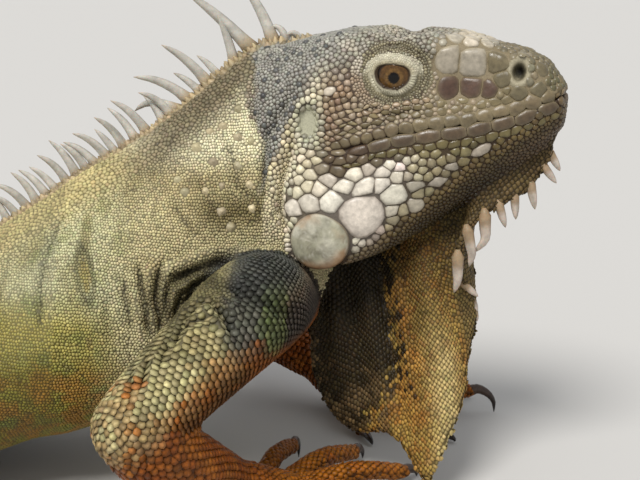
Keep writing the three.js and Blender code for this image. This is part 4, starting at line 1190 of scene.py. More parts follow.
# ---- Pieces --------------------------------------------------------------------------------------
def add_piece(name, mesh, material, stands_for=()):
    piece = bpy.data.objects.new(name, mesh)
    bpy.context.scene.collection.objects.link(piece)
    mesh.materials.clear()
    mesh.materials.append(material)
    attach(piece, "root")
    if stands_for:
        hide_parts(*stands_for)


def set_tone(mesh, colour):
    tone = mesh.color_attributes.new("tone", "FLOAT_COLOR", "POINT")
    rgba = np.ones((len(colour), 4), np.float32)
    rgba[:, :3] = colour
    tone.data.foreach_set("color", rgba.ravel())


def mesh_of(name, verts, quads, tris, colour, uvs=None):
    """A smooth mesh in metres from arrays of quads and triangles."""
    mesh = bpy.data.meshes.new(name)
    mesh.vertices.add(len(verts))
    mesh.vertices.foreach_set("co", (verts * MM).astype(np.float32).ravel())
    corners = np.concatenate([quads.ravel(), tris.ravel()]).astype(np.int32)
    mesh.loops.add(len(corners))
    mesh.loops.foreach_set("vertex_index", corners)
    starts = np.concatenate([np.arange(len(quads)) * 4, len(quads) * 4 + np.arange(len(tris)) * 3])
    mesh.polygons.add(len(starts))
    mesh.polygons.foreach_set("loop_start", starts.astype(np.int32))
    mesh.polygons.foreach_set("use_smooth", np.ones(len(starts), bool))
    mesh.update(calc_edges=True)
    set_tone(mesh, colour)
    if uvs is not None:
        layer = mesh.uv_layers.new(name="OFBake")
        layer.data.foreach_set("uv", uvs[corners].astype(np.float32).ravel())
    return mesh


# ---- Where the scales sit ------------------------------------------------------------------------
skin_tree = BVHTree.FromPolygons([tuple(p) for p in co], [tuple(p.vertices) for p in skin.polygons])
polygon_first = np.array([p.vertices[0] for p in skin.polygons])
polygon_third = np.array([p.vertices[2] for p in skin.polygons])


def settle(points):
    """The nearest points of the skin, their smooth normals, and how far each was moved."""
    spots, hits, moved = np.zeros((len(points), 3)), np.zeros(len(points), int), np.zeros(len(points))
    for i, p in enumerate(points):
        spot, _, hit, distance = skin_tree.find_nearest(p)
        spots[i], hits[i], moved[i] = spot, hit, distance
    return spots, unit(normals[polygon_first[hits]] + normals[polygon_third[hits]]), moved


def quincunx(grid, shares, steps, gaps):
    """Points in staggered rows on a closed grid, given step and gap at some shares of its length."""
    around = grid.shape[1]
    along = np.concatenate([[0], np.cumsum(np.linalg.norm(np.diff(grid, axis=0), axis=2).mean(axis=1))])
    points, odd = [], 0
    walked = 0.3
    while walked < along[-1]:
        share = walked / along[-1]
        i = min(int(np.searchsorted(along, walked)), len(along) - 1)
        t = (walked - along[i - 1]) / (along[i] - along[i - 1])
        ring = grid[i - 1] * (1 - t) + grid[i] * t
        gap = np.interp(share, shares, gaps)
        for way in (1, -1):
            line = np.roll(ring[::way], 0 if way == 1 else 1, axis=0)[: around // 2 + 1]
            reach = length_along(line)
            first = gap / 2 if odd else (0 if way == 1 else gap)
            points.append(points_on(line, reach, np.arange(first, reach[-1], gap)))
        walked += np.interp(share, shares, steps)
        odd = 1 - odd
    return np.concatenate(points)


def thinned(points, gap):
    """The points left when each, in order, clears its own surroundings."""
    tree = tree_of(points)
    gone = np.zeros(len(points), bool)
    kept = []
    for i in range(len(points)):
        if gone[i]:
            continue
        kept.append(i)
        for _, j, _ in tree.find_range(points[i], gap[i]):
            gone[j] = True
    return np.array(kept, int)


def size_at(points, place, share):
    """Spacing of the scales, in millimetres, wherever none are placed one by one."""
    region = surface_region[place]
    s, l, z = to_head(points)
    x, u = points[:, 0], share[:, 0]
    height = height_round(share)
    torso = 1.16 - 0.14 * ease(110, 140, x) + 1.0 * ease(0.24, 0.12, height)
    torso += 0.4 * ease(60, 10, x) - 0.25 * nape_share(points)
    torso -= 0.15 * ease(1.2, 0.8, np.hypot((x - 165) / 16, (z - 74) / 15))
    tail = np.interp(u, [0, 0.04, 0.15, 0.6, 1], [1.7, 2.1, 2.6, 2.0, 1.2])
    head = 1.65 + 0.45 * ease(152, 144, z) * ease(-4, -14, s)
    head += 1.6 * ease(12, 20, s) * ease(137, 144, z)
    head = np.where(s > 31, 2.5 - 0.5 * ease(44, 52, s), head)
    head -= 0.3 * ease(7, 3, z - lip_height(s)) * (s < 31)
    under, edge = lip_height(s) - z, z - jaw_edge(s)
    jowl = 2.6 + 3.3 * np.exp(-(((s + 13) / 17) ** 2) - ((z - 105) / 9.5) ** 2)
    jowl += 0.6 * bell(s - 27, 15) * ease(7, 9.5, under) - 0.6 * ease(-28, -38, s)
    jowl += (1.9 - jowl) * ease(6.5, 2.5, edge)
    head = np.where(under > 0, jowl, head)
    head = np.where(edge < 1.2, 1.4, head)
    head = np.where(s < -31, np.minimum(head, 1.75 + 0.7 * ease(112, 104, z)), head)
    head -= 0.5 * nape_share(points) * (s < -25)
    d, _ = lid_distance(s, z)
    around_eye = near_eye(points, 14.5) & (np.abs(l) > EYE_SIDE)
    head = np.where(around_eye, np.minimum(head, 0.95 + 0.6 * ease(6.5, 10, d)), head)
    limb = np.full(len(points), 2.5)
    for number in np.unique(place):
        surface = surfaces[number]
        if surface["part"] == "upper" and "arm" in surface["limb"]:
            limb = np.where(place == number, np.interp(u, [0, 0.35, 0.52], [1.3, 1.5, 2.6]), limb)
            by_roll = np.maximum(shoulder_roll(points + [0, 0, 3.5]), shoulder_roll(points + [-3.5, 0, 2]))
            limb = np.where(place == number, limb + (1.75 - limb) * by_roll * (limb > 1.75), limb)
            limb = np.where(place == number, limb + (1.15 - limb) * shoulder_roll(points), limb)
        elif surface["part"] == "upper":
            limb = np.where(place == number, np.interp(u, [0.25, 0.65], [1.5, 2.5]), limb)
        elif surface["part"] == "palm":
            limb = np.where(place == number, 2.1, limb)
    own = {TORSO_REGION: torso, TAIL_REGION: tail, HEAD_REGION: head, DEWLAP_REGION: 1.65, LIMB_REGION: limb}
    size = np.full(len(points), 1.9)
    for number, value in own.items():
        size = np.where(region == number, value, size)
    return size


# Kinds of scale: small bead, domed bead, keeled with a raised rear edge, keeled of the tail, broad
# plate, pointed cone. LOOSE ones get their kind from where they lie.
BEAD, DOME, KEELED, WHORL, PLATE, CONE, LOOSE = range(7)
BROAD = 3.2  # from this size a scale of the head is a plate, and is fitted to more neighbours
placed = []


def place_scales(points, kind, size, aspect=1.0, height=0.5, colour=None, lie=None):
    count = len(points)
    placed.append({
        "points": np.asarray(points, float),
        "kind": np.full(count, kind),
        "size": np.zeros(count) + size,
        "aspect": np.zeros(count) + aspect,
        "height": np.zeros(count) + height,
        "colour": np.full((count, 3), np.nan) if colour is None else np.zeros((count, 3)) + colour,
        "lie": np.full((count, 3), np.nan) if lie is None else lie,
    })


def on_head_side(s, z, side):
    """Points of the skin met from the side of the head."""
    found = []
    inward = Vector(to_world(0.0, -side, 0.0) - to_world(0.0, 0.0, 0.0))
    for a, b in zip(s, z):
        spot = skin_tree.ray_cast(Vector(to_world(a, side * 60.0, b)), inward)[0]
        found.append(np.array(spot) if spot is not None else to_world(a, side * 20.0, b))
    return np.array(found)


def walk_line(line, step, start=0.0, stop=1e9):
    """Points along a line at spacings that step gives for each place on it."""
    reach = length_along(line)
    stops, at = [], start
    while at < min(reach[-1], stop):
        stops.append(at)
        at += step(at / reach[-1])
    return points_on(line, reach, stops), np.array(stops) / reach[-1]


# Plates that stand out on the head's side: forward, up, width, height, colour.
HEAD_PLATES = [
    (-7.9, 98.0, 17.8, 14.8, IVORY), (-25.7, 102.6, 8.2, 6.4, IVORY), (-18.2, 104.0, 6.6, 6.0, IVORY),
    (-31.6, 100.2, 5.8, 5.8, IVORY), (-14.0, 108.8, 7.1, 4.4, IVORY),
    (-6.4, 108.8, 7.8, 5.0, IVORY), (2.2, 105.8, 8.6, 7.0, IVORY), (9.0, 101.8, 6.4, 5.4, CHALK * 0.9),
    (8.5, 108.9, 6.4, 4.0, CHALK * 0.7), (16.5, 110.4, 6.0, 3.6, CHALK * 0.7),
    (20.5, 115.4, 5.6, 3.2, CHALK * 0.6), (29.5, 120.9, 7.8, 3.8, CHALK * 0.7),
    (16.9, 149.8, 8.2, 9.2, CHALK * 0.58), (25.3, 149.2, 8.8, 10, CHALK * 0.66),
    (17.6, 141.0, 7.6, 8.4, BARK), (25.0, 141.2, 7.6, 7.6, BARK), (31.4, 140.6, 5.4, 5.4, BARK),
    (-20.5, 139.6, 5, 3.4, CHALK), (33.2, 149.8, 6.4, 6.4, STONE), (47.4, 147.6, 4.6, 5, STONE),
    (35.2, 144.0, 4.4, 4.8, STONE), (40.6, 139.6, 6.2, 4.2, STONE), (47.2, 141, 5, 4.6, STONE),
    (33.6, 155.4, 6.4, 5, STONE), (26.6, 157.0, 6.4, 4.4, CHALK * 0.85), (18.6, 157, 6, 4.4, CHALK * 0.85),
]
# Rows of lip scales above and below the mouth: height over it, first and last place, step by share of
# the way, height of a scale, colour and relief.
LIP_ROWS = [
    (2.1, 0, 1e9, lambda t: 3.4 + 1.8 * min(1, t / 0.4), 4.2, paint(110, 97, 72), 0.5),
    (5.5, 2, 1e9, lambda t: 4.2, 2.7, paint(110, 98, 70), 0.5),
    (7.9, 2, 60, lambda t: 3.6, 2.3, paint(116, 104, 74), 0.5),
    (9.7, 3, 34, lambda t: 3.3, 2.1, paint(146, 126, 100), 0.5),
    (11.7, 3, 16, lambda t: 3.0, 2.0, paint(150, 134, 106), 0.5),
    (-2.2, 8, 1e9, lambda t: 8.4 - 3.0 * abs(t - 0.45), 4.4, paint(82, 67, 49), 0.6),
    (-5.9, 4, 1e9, lambda t: 4.0, 2.4, paint(100, 90, 56), 0.5),
]
# Rings of fine scales round the eye, the first a fringe of slender pale ones standing below it:
# distance from the opening, gap, size, whether above the eye too (None: only there), colour.
LID_RINGS = [
    (1.15, 0.8, 0.66, False, LID_PALE), (2.7, 0.8, 0.75, False, None), (3.6, 0.85, 0.8, False, None),
    (4.5, 0.9, 0.85, True, None), (5.4, 0.95, 0.9, True, None), (6.3, 1.0, 0.95, True, None),
    (7.3, 1.1, 1.0, True, None), (1.0, 0.75, 0.7, None, None), (1.8, 0.75, 0.72, None, None),
    (2.6, 0.75, 0.72, None, None), (3.3, 0.75, 0.7, None, None),
]
for side in (-1, 1):
    wobble = chance.normal(0, 0.35, (len(HEAD_PLATES), 2)) * (side > 0)
    for number, (s, z, wide, tall, colour) in enumerate(HEAD_PLATES):
        spot = on_head_side([s + wobble[number, 0]], [z + wobble[number, 1]], side)
        tone = colour * (0.95 + 0.08 * chance.random())
        place_scales(spot, PLATE, tall * 0.97, wide / tall, 0.5 + 0.055 * wide, tone)
    for lift, start, stop, step, tall, colour, height in LIP_ROWS:
        spots, share = walk_line(MOUTH + [0, lift], step, start + chance.random() * 1.5, stop)
        spots += chance.normal(0, 0.14, spots.shape)
        wide = np.array([step(t) for t in share])
        tall = tall * (0.66 + 0.34 * ease(0.0, 0.4, share))
        tone = colour * (0.82 + 0.36 * chance.random((len(spots), 1)))
        place_scales(on_head_side(spots[:, 0], spots[:, 1], side), PLATE, tall, wide / tall, height, tone)
    for ring, gap, tall, above, colour in LID_RINGS:
        angle = np.arange(0, 2 * np.pi, gap / (5.2 + ring))
        angle += chance.normal(0, 0.18, len(angle)) * gap / (5.2 + ring) * (colour is None)
        s0, z0 = np.cos(angle), np.sin(angle)
        reach = 0.001 - lid_distance(s0 * 0.001, EYE_UP + z0 * 0.001)[0] + ring
        keep = z0 > 0.12 if above is None else (z0 < 0.1) | above
        reach += chance.normal(0, 0.04 if colour is not None else 0.17, len(reach))
        s1, z1 = (s0 * reach)[keep], (EYE_UP + z0 * reach)[keep]
        radial = to_world(s0, np.zeros(len(s0)), z0) - to_world(0.0, 0.0, 0.0)
        wide = 1.1 if colour is None else 2.4
        rise = 0.22 if above is not None else 0.1
        place_scales(on_head_side(s1, z1, side), DOME, tall, wide, rise, colour, radial[keep])

# Tubercles: soft pale cones on the sides of the neck, dark ones in the blue-grey nape.
NECK_TUBERCLES = [
    (172, 132), (167, 126.5), (172, 123), (176.5, 122), (164, 115.5), (172, 114), (167, 108), (161.5, 106.5),
    (152, 110), (154.5, 106.5), (176, 108), (167, 100), (170, 94.5), (158, 120), (162.5, 125), (177, 100),
]
for side in (-1, 1):
    for spots, kind, size, height, colour in (
        (np.array(NECK_TUBERCLES), CONE, 2.7, 1.15, NECK_PALE),
        (chance.uniform((172, 106), (210, 160), (600, 2)), DOME, 1.8, 0.6, NAPE_DARK),
    ):
        found = []
        for x, z in spots:
            shift = 0.0 if side < 0 else 13.0 * ease(160, 190, x)
            hit = skin_tree.ray_cast(Vector((x + shift, side * 60.0, z)), Vector((0, -side, 0)))[0]
            if hit is not None:
                found.append(np.array(hit))
        found = np.array(found)
        if kind == DOME:
            found = found[nape_share(found) > 0.8]
            found = found[thinned(found, chance.uniform(2.6, 5.2, len(found)))]
        vary = chance.uniform(0.75, 1.25, len(found))
        tone = colour * chance.uniform(0.85, 1.15, (len(found), 1))
        place_scales(found, kind, size * vary, 1.0, height * vary, tone)

# A fringe of small brown cones along the foot of the crest.
crest_line = torso_section(np.linspace(0.03, 1, 900))[0]
walked = length_along(crest_line)
for offset, gap in ((1.6, 2.0), (3.5, 1.9)):
    for side in (-1, 1):
        fringe = points_on(crest_line, walked, np.arange(chance.random() * gap, walked[-1], gap))
        fringe[:, 1] += side * offset
        tone = paint(168, 150, 116) * chance.uniform(0.7, 1.15, (len(fringe), 1))
        grown = chance.uniform(0.75, 1.2, len(fringe)) * (1 + 0.35 * ease(150, 175, fringe[:, 0]))
        place_scales(settle(fringe)[0], CONE, 1.9 * grown, 1.0, (1.5 if offset < 2 else 0.8) * grown, tone)

# Rows over torso, tail, limbs and dewlap: shares of the length, step from row to row there, and gap
# from scale to scale.
ROW_SPACING = {
    TORSO_REGION: (
        [0, 0.28, 0.4, 0.5, 0.7, 1],
        [0.92, 0.95, 1.0, 1.0, 1.3, 1.4],
        [1.08, 1.1, 1.15, 1.15, 1.45, 1.55],
    ),
    TAIL_REGION: ([0, 0.04, 0.15, 0.6, 1], [1.6, 2.2, 3.0, 2.8, 2.0], [1.7, 2.1, 2.5, 1.8, 1.1]),
    DEWLAP_REGION: ([0], [1.05], [2.0]),
    "upper arm": ([0, 0.35, 0.52], [1.1, 1.25, 2.15], [1.3, 1.5, 2.6]),
    "upper leg": ([0.25, 0.65], [1.3, 2.05], [1.5, 2.5]),
    "palm": ([0], [1.8], [2.1]),
    LIMB_REGION: ([0], [2.05], [2.5]),
    DIGIT_REGION: ([0], [1.7], [2.1]),
}
ROW_LOOK = {  # kind, height, aspect, unevenness
    TORSO_REGION: (LOOSE, 0.5, 1.0, 0.15),
    TAIL_REGION: (WHORL, 0.45, 1.45, 0.06),
    DEWLAP_REGION: (DOME, 0.38, 1.25, 0.05),
    LIMB_REGION: (KEELED, 0.62, 1.0, 0.08),
    DIGIT_REGION: (KEELED, 0.5, 1.0, 0.06),
}
for surface in surfaces:
    region = surface["region"]
    if region == HEAD_REGION:
        continue
    spacing = region
    if surface["part"] == "upper" and "arm" in surface["limb"]:
        spacing = "upper arm"
    elif surface["part"] == "upper":
        spacing = "upper leg"
    elif surface["part"] == "palm":
        spacing = "palm"
    points = quincunx(surface["grid"], *ROW_SPACING[spacing])
    points = points[points[:, 2] > -1.5]
    spots, _, moved = settle(points)
    kind, height, aspect, uneven = ROW_LOOK[region]
    spots = spots[moved < 2.3]
    if surface["part"] == "upper" and surface["limb"] == "right_arm":
        spots = spots[shoulder_roll(spots) < 0.5]
    place_scales(spots + chance.normal(0, uneven, spots.shape), kind, np.nan, aspect, height)


def gathered(name):
    return np.concatenate([group[name] for group in placed])


points = gathered("points")
spots, _, _ = settle(points)
found = nearest_lattice(spots)
size = gathered("size")
own = size_at(spots, lattice_place[found], lattice_share[found])
size = np.where(np.isnan(size), own, size)
kind, aspect = gathered("kind"), gathered("aspect")
kept = thinned(spots, size * np.select([kind == PLATE, kind == LOOSE], [0.62, 0.58], 0.66))


def near_vertex(p):
    return polygon_first[skin_tree.find_nearest(p)[2]]


def in_plates(points, room):
    """Whether points lie within room of a broad plate."""
    inside = np.zeros(len(points), bool)
    s_at, _, z_at = to_head(spots)
    on_snout = (s_at > 12) & (z_at > lip_height(s_at) + 1)
    for i in np.flatnonzero((kind == PLATE) & (size > 3.3)):
        q = points - spots[i]
        close = np.flatnonzero((q**2).sum(axis=1) < 150)
        out = unit(normals[near_vertex(spots[i])])
        way = lattice_lie[found[i]]
        way = unit(way - out * (way @ out))
        along, over = q[close] @ way, q[close] @ np.cross(out, way)
        reach = size[i] / 2 * (1.14 if on_snout[i] else 0.93)
        half_wide, half_tall = reach * aspect[i] + room[close], reach + room[close]
        inside[close] |= np.hypot(along / half_wide, over / half_tall) < 1
    return inside


# Fills what the rows leave open with scattered scales of the local size, most of them on the head.
SCATTER_TRIES, SPREAD_ROUNDS = 240000, 5
triangles = []
for polygon in skin.polygons:
    a, b, c, d = (polygon.vertices[k] for k in (0, 1, 2, -1))
    triangles += [[a, b, c], [a, c, d]]
triangles = np.array(triangles)
first = triangles[:, 0]
corner = co[triangles]
area = np.linalg.norm(np.cross(corner[:, 1] - corner[:, 0], corner[:, 2] - corner[:, 0]), axis=1) / 2
vertex_size = size_at(co, tag, skin_share)
demand = area / vertex_size[first] ** 2
demand *= np.select([skin_region[first] == HEAD_REGION, skin_region[first] == DEWLAP_REGION], [1.0, 0.6], 0.2)
demand *= 1 + 4 * (shoulder_roll(co) * (skin_region == LIMB_REGION))[first]
chosen = chance.choice(len(triangles), SCATTER_TRIES, p=demand / demand.sum())
bary = chance.dirichlet((1, 1, 1), len(chosen))
scatter = (corner[chosen] * bary[:, :, None]).sum(axis=1)
scatter_up = normals[first[chosen], 2]
found_scatter = nearest_lattice(scatter)
scatter_size = size_at(scatter, lattice_place[found_scatter], lattice_share[found_scatter])
clear = tree_of(spots[kept])
is_free = np.zeros(len(scatter), bool)
for i, p in enumerate(scatter):
    _, j, distance = clear.find(p)
    is_free[i] = distance > 0.43 * (scatter_size[i] + size[kept[j]])
s_at, l_at, z_at = to_head(scatter)
head_spot = surface_region[lattice_place[found_scatter]] == HEAD_REGION
in_lids = (lid_distance(s_at, z_at)[0] < 7.0) & near_eye(scatter, 13.5)
in_lids &= (np.abs(l_at) > EYE_SIDE + 1) & (scatter_up < 0.5)
in_nostril = (nostril_distance(s_at, z_at) < 3.9) & head_spot
in_ear = (ear_distance(s_at, z_at) < 0.9) & (np.abs(l_at) > 12) & head_spot
near_shield = np.hypot(s_at - SHIELD_AT[0], z_at - SHIELD_AT[1]) - scatter_size / 2 < SHIELD_RADIUS - 0.3
near_shield &= (np.abs(l_at) > 20) & head_spot
on_floor = (scatter_up < -0.8) & (scatter[:, 2] < 1)
at_mouth = np.abs(z_at - lip_height(s_at) - 0.2) < np.where(np.abs(l_at) < 9, 0.9, 1.5)
at_mouth &= (s_at > -17) & head_spot
is_free &= ~(in_lids | in_nostril | in_ear | near_shield | on_floor | at_mouth)
is_free[is_free] = ~in_plates(scatter[is_free], scatter_size[is_free] * 0.42)
free = np.flatnonzero(is_free)
order = free[thinned(scatter[free], scatter_size[free] * 0.8)]


def spread(points, size, loose, rounds):
    """Eases loose points apart until neighbours sit about one size from each other."""
    for _ in range(rounds):
        tree = tree_of(points)
        moved = points.copy()
        for i in loose:
            for q, j, distance in tree.find_n(points[i], 9)[1:]:
                room = 0.53 * (size[i] + size[j])
                if distance < room:
                    moved[i] += (points[i] - q) * (0.3 * (room - distance) / max(distance, 0.1))
        points = moved
        points[loose] = settle(points[loose])[0]
    return points


everything = np.concatenate([kept, len(points) + np.arange(len(order))])
place_scales(scatter[order], LOOSE, scatter_size[order], height=np.nan)
kind, aspect, height, given, given_lie = (
    gathered(name)[everything] for name in ("kind", "aspect", "height", "colour", "lie")
)
spots = np.concatenate([spots[kept], scatter[order]])
size = np.concatenate([size[kept], scatter_size[order]])
found = np.concatenate([found[kept], found_scatter[order]])
loose = len(kept) + np.flatnonzero(surface_region[lattice_place[found_scatter[order]]] == HEAD_REGION)
spots = spread(spots, size, loose, SPREAD_ROUNDS)

place, share = lattice_place[found], lattice_share[found]
region = surface_region[place]
s_at, l_at, z_at = to_head(spots)
hidden = np.hypot(s_at - SHIELD_AT[0], z_at - SHIELD_AT[1]) < SHIELD_RADIUS + 0.1
hidden &= (np.abs(l_at) > 20) & (region == HEAD_REGION)
hidden |= (ear_distance(s_at, z_at) < 0.85) & (np.abs(l_at) > 12) & (region == HEAD_REGION)
hidden |= spots[:, 2] < 0.6
keep = ~hidden
spots, size, aspect, height, kind, given, given_lie, found, place, share, region = (
    a[keep] for a in (spots, size, aspect, height, kind, given, given_lie, found, place, share, region)
)
spots, out, _ = settle(spots)
lie = np.where(np.isnan(given_lie), lattice_lie[found], given_lie)
lie = unit(lie - out * (lie * out).sum(axis=1, keepdims=True))
across = np.cross(out, lie)
loose = kind == LOOSE
of_head, of_torso, of_tail = (region == number for number in (HEAD_REGION, TORSO_REGION, TAIL_REGION))
of_limbs = np.isin(region, [LIMB_REGION, DIGIT_REGION])
near_head = of_torso & (spots[:, 0] > 112)
kind = np.select(
    [~loose, of_head & (size > BROAD), of_head | near_head, of_torso, of_limbs & (size > 1.6), of_tail],
    [kind, PLATE, DOME, BEAD, KEELED, WHORL], DOME,
)
jowl = of_head & (size > 2.6) & loose
aspect = np.where(jowl, 1.15, aspect)
s_at, l_at, z_at = to_head(spots)
cheek = bell(s_at + 13, 13) * bell(z_at - 122, 9) * of_head * (np.abs(l_at) > 12) * loose
aspect += 0.8 * cheek * (1 - (s_at > 12))
height = np.where(np.isnan(height), np.where(of_head, 0.22 + 0.16 * size, 0.3 * size), height)

# ---- The shape of each scale's cell --------------------------------------------------------------
NEIGHBOURS, MANY_NEIGHBOURS = 14, 60
tree = tree_of(spots)
near = np.zeros((len(spots), NEIGHBOURS), int)
for i, p in enumerate(spots):
    near[i] = [j for _, j, _ in tree.find_n(p, NEIGHBOURS + 1)][1:]

# The jowl shields take part in the division too, one on each side.
shields = np.concatenate([on_head_side([SHIELD_AT[0]], [SHIELD_AT[1]], side) for side in (-1, 1)])


def cell_reach(pick, angles):
    """How far each picked scale's cell goes in each direction, in its own stretched frame."""
    reach = np.full((len(pick), len(angles)), 1e9)
    own = size[pick][:, None] / 2
    broad = size[pick] > BROAD
    for chosen, neighbours in ((np.flatnonzero(~broad), near[pick[~broad]]), (np.flatnonzero(broad), None)):
        if not len(chosen):
            continue
        mine = pick[chosen]
        if neighbours is None:
            found_near = [tree.find_n(spots[i], MANY_NEIGHBOURS + 1) for i in mine]
            neighbours = np.array([[j for _, j, _ in row][1:] for row in found_near])
        beside = np.broadcast_to(shields, (len(mine), 2, 3))
        q = np.concatenate([spots[neighbours], beside], axis=1) - spots[mine][:, None]
        along, over = (q * lie[mine][:, None]).sum(axis=2), (q * across[mine][:, None]).sum(axis=2)
        unroll = np.clip(np.linalg.norm(q, axis=2) / (np.hypot(along, over) + 1e-6), 1, 1.5)
        along, over = along * unroll / aspect[mine][:, None], over * unroll
        other = np.concatenate([size[neighbours] / 2, np.full((len(mine), 2), SHIELD_RADIUS - 0.3)], axis=1)
        lift = along**2 + over**2 + own[chosen] ** 2 - other**2
        same_side = (out[neighbours] * out[mine][:, None]).sum(axis=2) > 0.3
        same_side = np.concatenate([same_side, np.linalg.norm(q[:, -2:], axis=2) < 25], axis=1)
        for k, angle in enumerate(angles):
            ahead = along * math.cos(angle) + over * math.sin(angle)
            good = same_side & (ahead > 0.12 * np.sqrt(along**2 + over**2))
            value = np.where(good, lift / np.where(good, 2 * ahead, 1), 1e9)
            reach[chosen, k] = value.min(axis=1)
    return np.clip(reach, 0.35 * own, np.where(broad[:, None], 1.6, 1.42) * own)


# Each kind of scale: corners, then its rings from the outside in, as share of the reach, share of
# the height and share of the way from the groove's colour to the scale's own.
PROFILES = {
    BEAD: (6, [(1.0, -0.12, 0.35)]),
    DOME: (7, [(0.99, -0.1, 0.15), (0.84, 0.6, 0.95)]),
    KEELED: (8, [(0.97, -0.3, 0.0), (0.95, 0.5, 0.75)]),
    WHORL: (6, [(0.97, -0.3, 0.0), (0.93, 0.5, 0.75)]),
    PLATE: (16, [(0.99, -0.15, 0.0), (0.93, 0.4, 0.5), (0.79, 0.77, 0.84), (0.5, 0.95, 0.97)]),
    CONE: (8, [(1.25, -0.1, 0.4), (0.75, 0.35, 0.9), (0.3, 0.85, 1.0)]),
}
LEAN = {BEAD: 0.15, DOME: 0.1, KEELED: 0.3, WHORL: 0.25, PLATE: 0.0, CONE: 0.2}
base = markings(spots, place, share)
base = np.where(np.isnan(given), base, given)
even = ((kind == PLATE) | ~np.isnan(given_lie[:, 0]))[:, None]
uneven = np.where(even, 0.06, np.where(np.isin(region, [LIMB_REGION, DEWLAP_REGION])[:, None], 0.16, 0.12))
jitter = 1 + chance.normal(0, 1, (len(spots), 1)) * uneven
jitter = jitter + chance.normal(0, 1, (len(spots), 3)) * np.where(even, 0.008, 0.02)
jitter *= np.where((chance.random((len(spots), 1)) < 0.07) & ~even, 0.68, 1)
base = np.clip(base * np.clip(jitter, 0.45, 1.4), 0, 1)
rim = base * 0.34 + UMBER * 0.06
rim = np.where(of_head[:, None], base * 0.22 + GROOVE * 0.5, rim)
rim = np.where((region == DEWLAP_REGION)[:, None], base * 0.2 + LAP_DARK * 0.4, rim)
s_at, _, z_at = to_head(spots)
on_snout = of_head & (s_at > 12) & (z_at > lip_height(s_at) + 1)
on_lips = of_head & (size > 3.6) & (z_at > lip_height(s_at) - 3.2) & (s_at > -12)
rim = np.where((on_snout | on_lips)[:, None], base * 0.25 + paint(184, 170, 136) * 0.5, rim)
on_lids = ~np.isnan(given_lie[:, :1])
rim = np.where(on_lids, base * 0.62, rim)
in_nape = nape_share(spots)[:, None] * (of_head | of_torso)[:, None]
rim = rim * (1 - in_nape) + paint(132, 132, 124) * 0.8 * in_nape

# Each surface's chart in the unit square: head, torso, tail and dewlap on top, limbs below.
charts = np.zeros((len(surfaces), 4))
charts[:4] = [
    (0.02, 0.76, 0.3, 0.22), (0.34, 0.62, 0.64, 0.36), (0.02, 0.5, 0.96, 0.1), (0.02, 0.62, 0.3, 0.12),
]
for number in range(4, len(surfaces)):
    column, row = (number - 4) % 8, (number - 4) // 8
    charts[number] = (0.02 + column * 0.122, 0.02 + row * 0.118, 0.11, 0.105)
root_uv = charts[place][:, :2] + share * charts[place][:, 2:]
UV_RADIUS = 0.0015
PLATE_SLACK = 0.6  # how far a plate's points may follow the skin sideways before they are held back


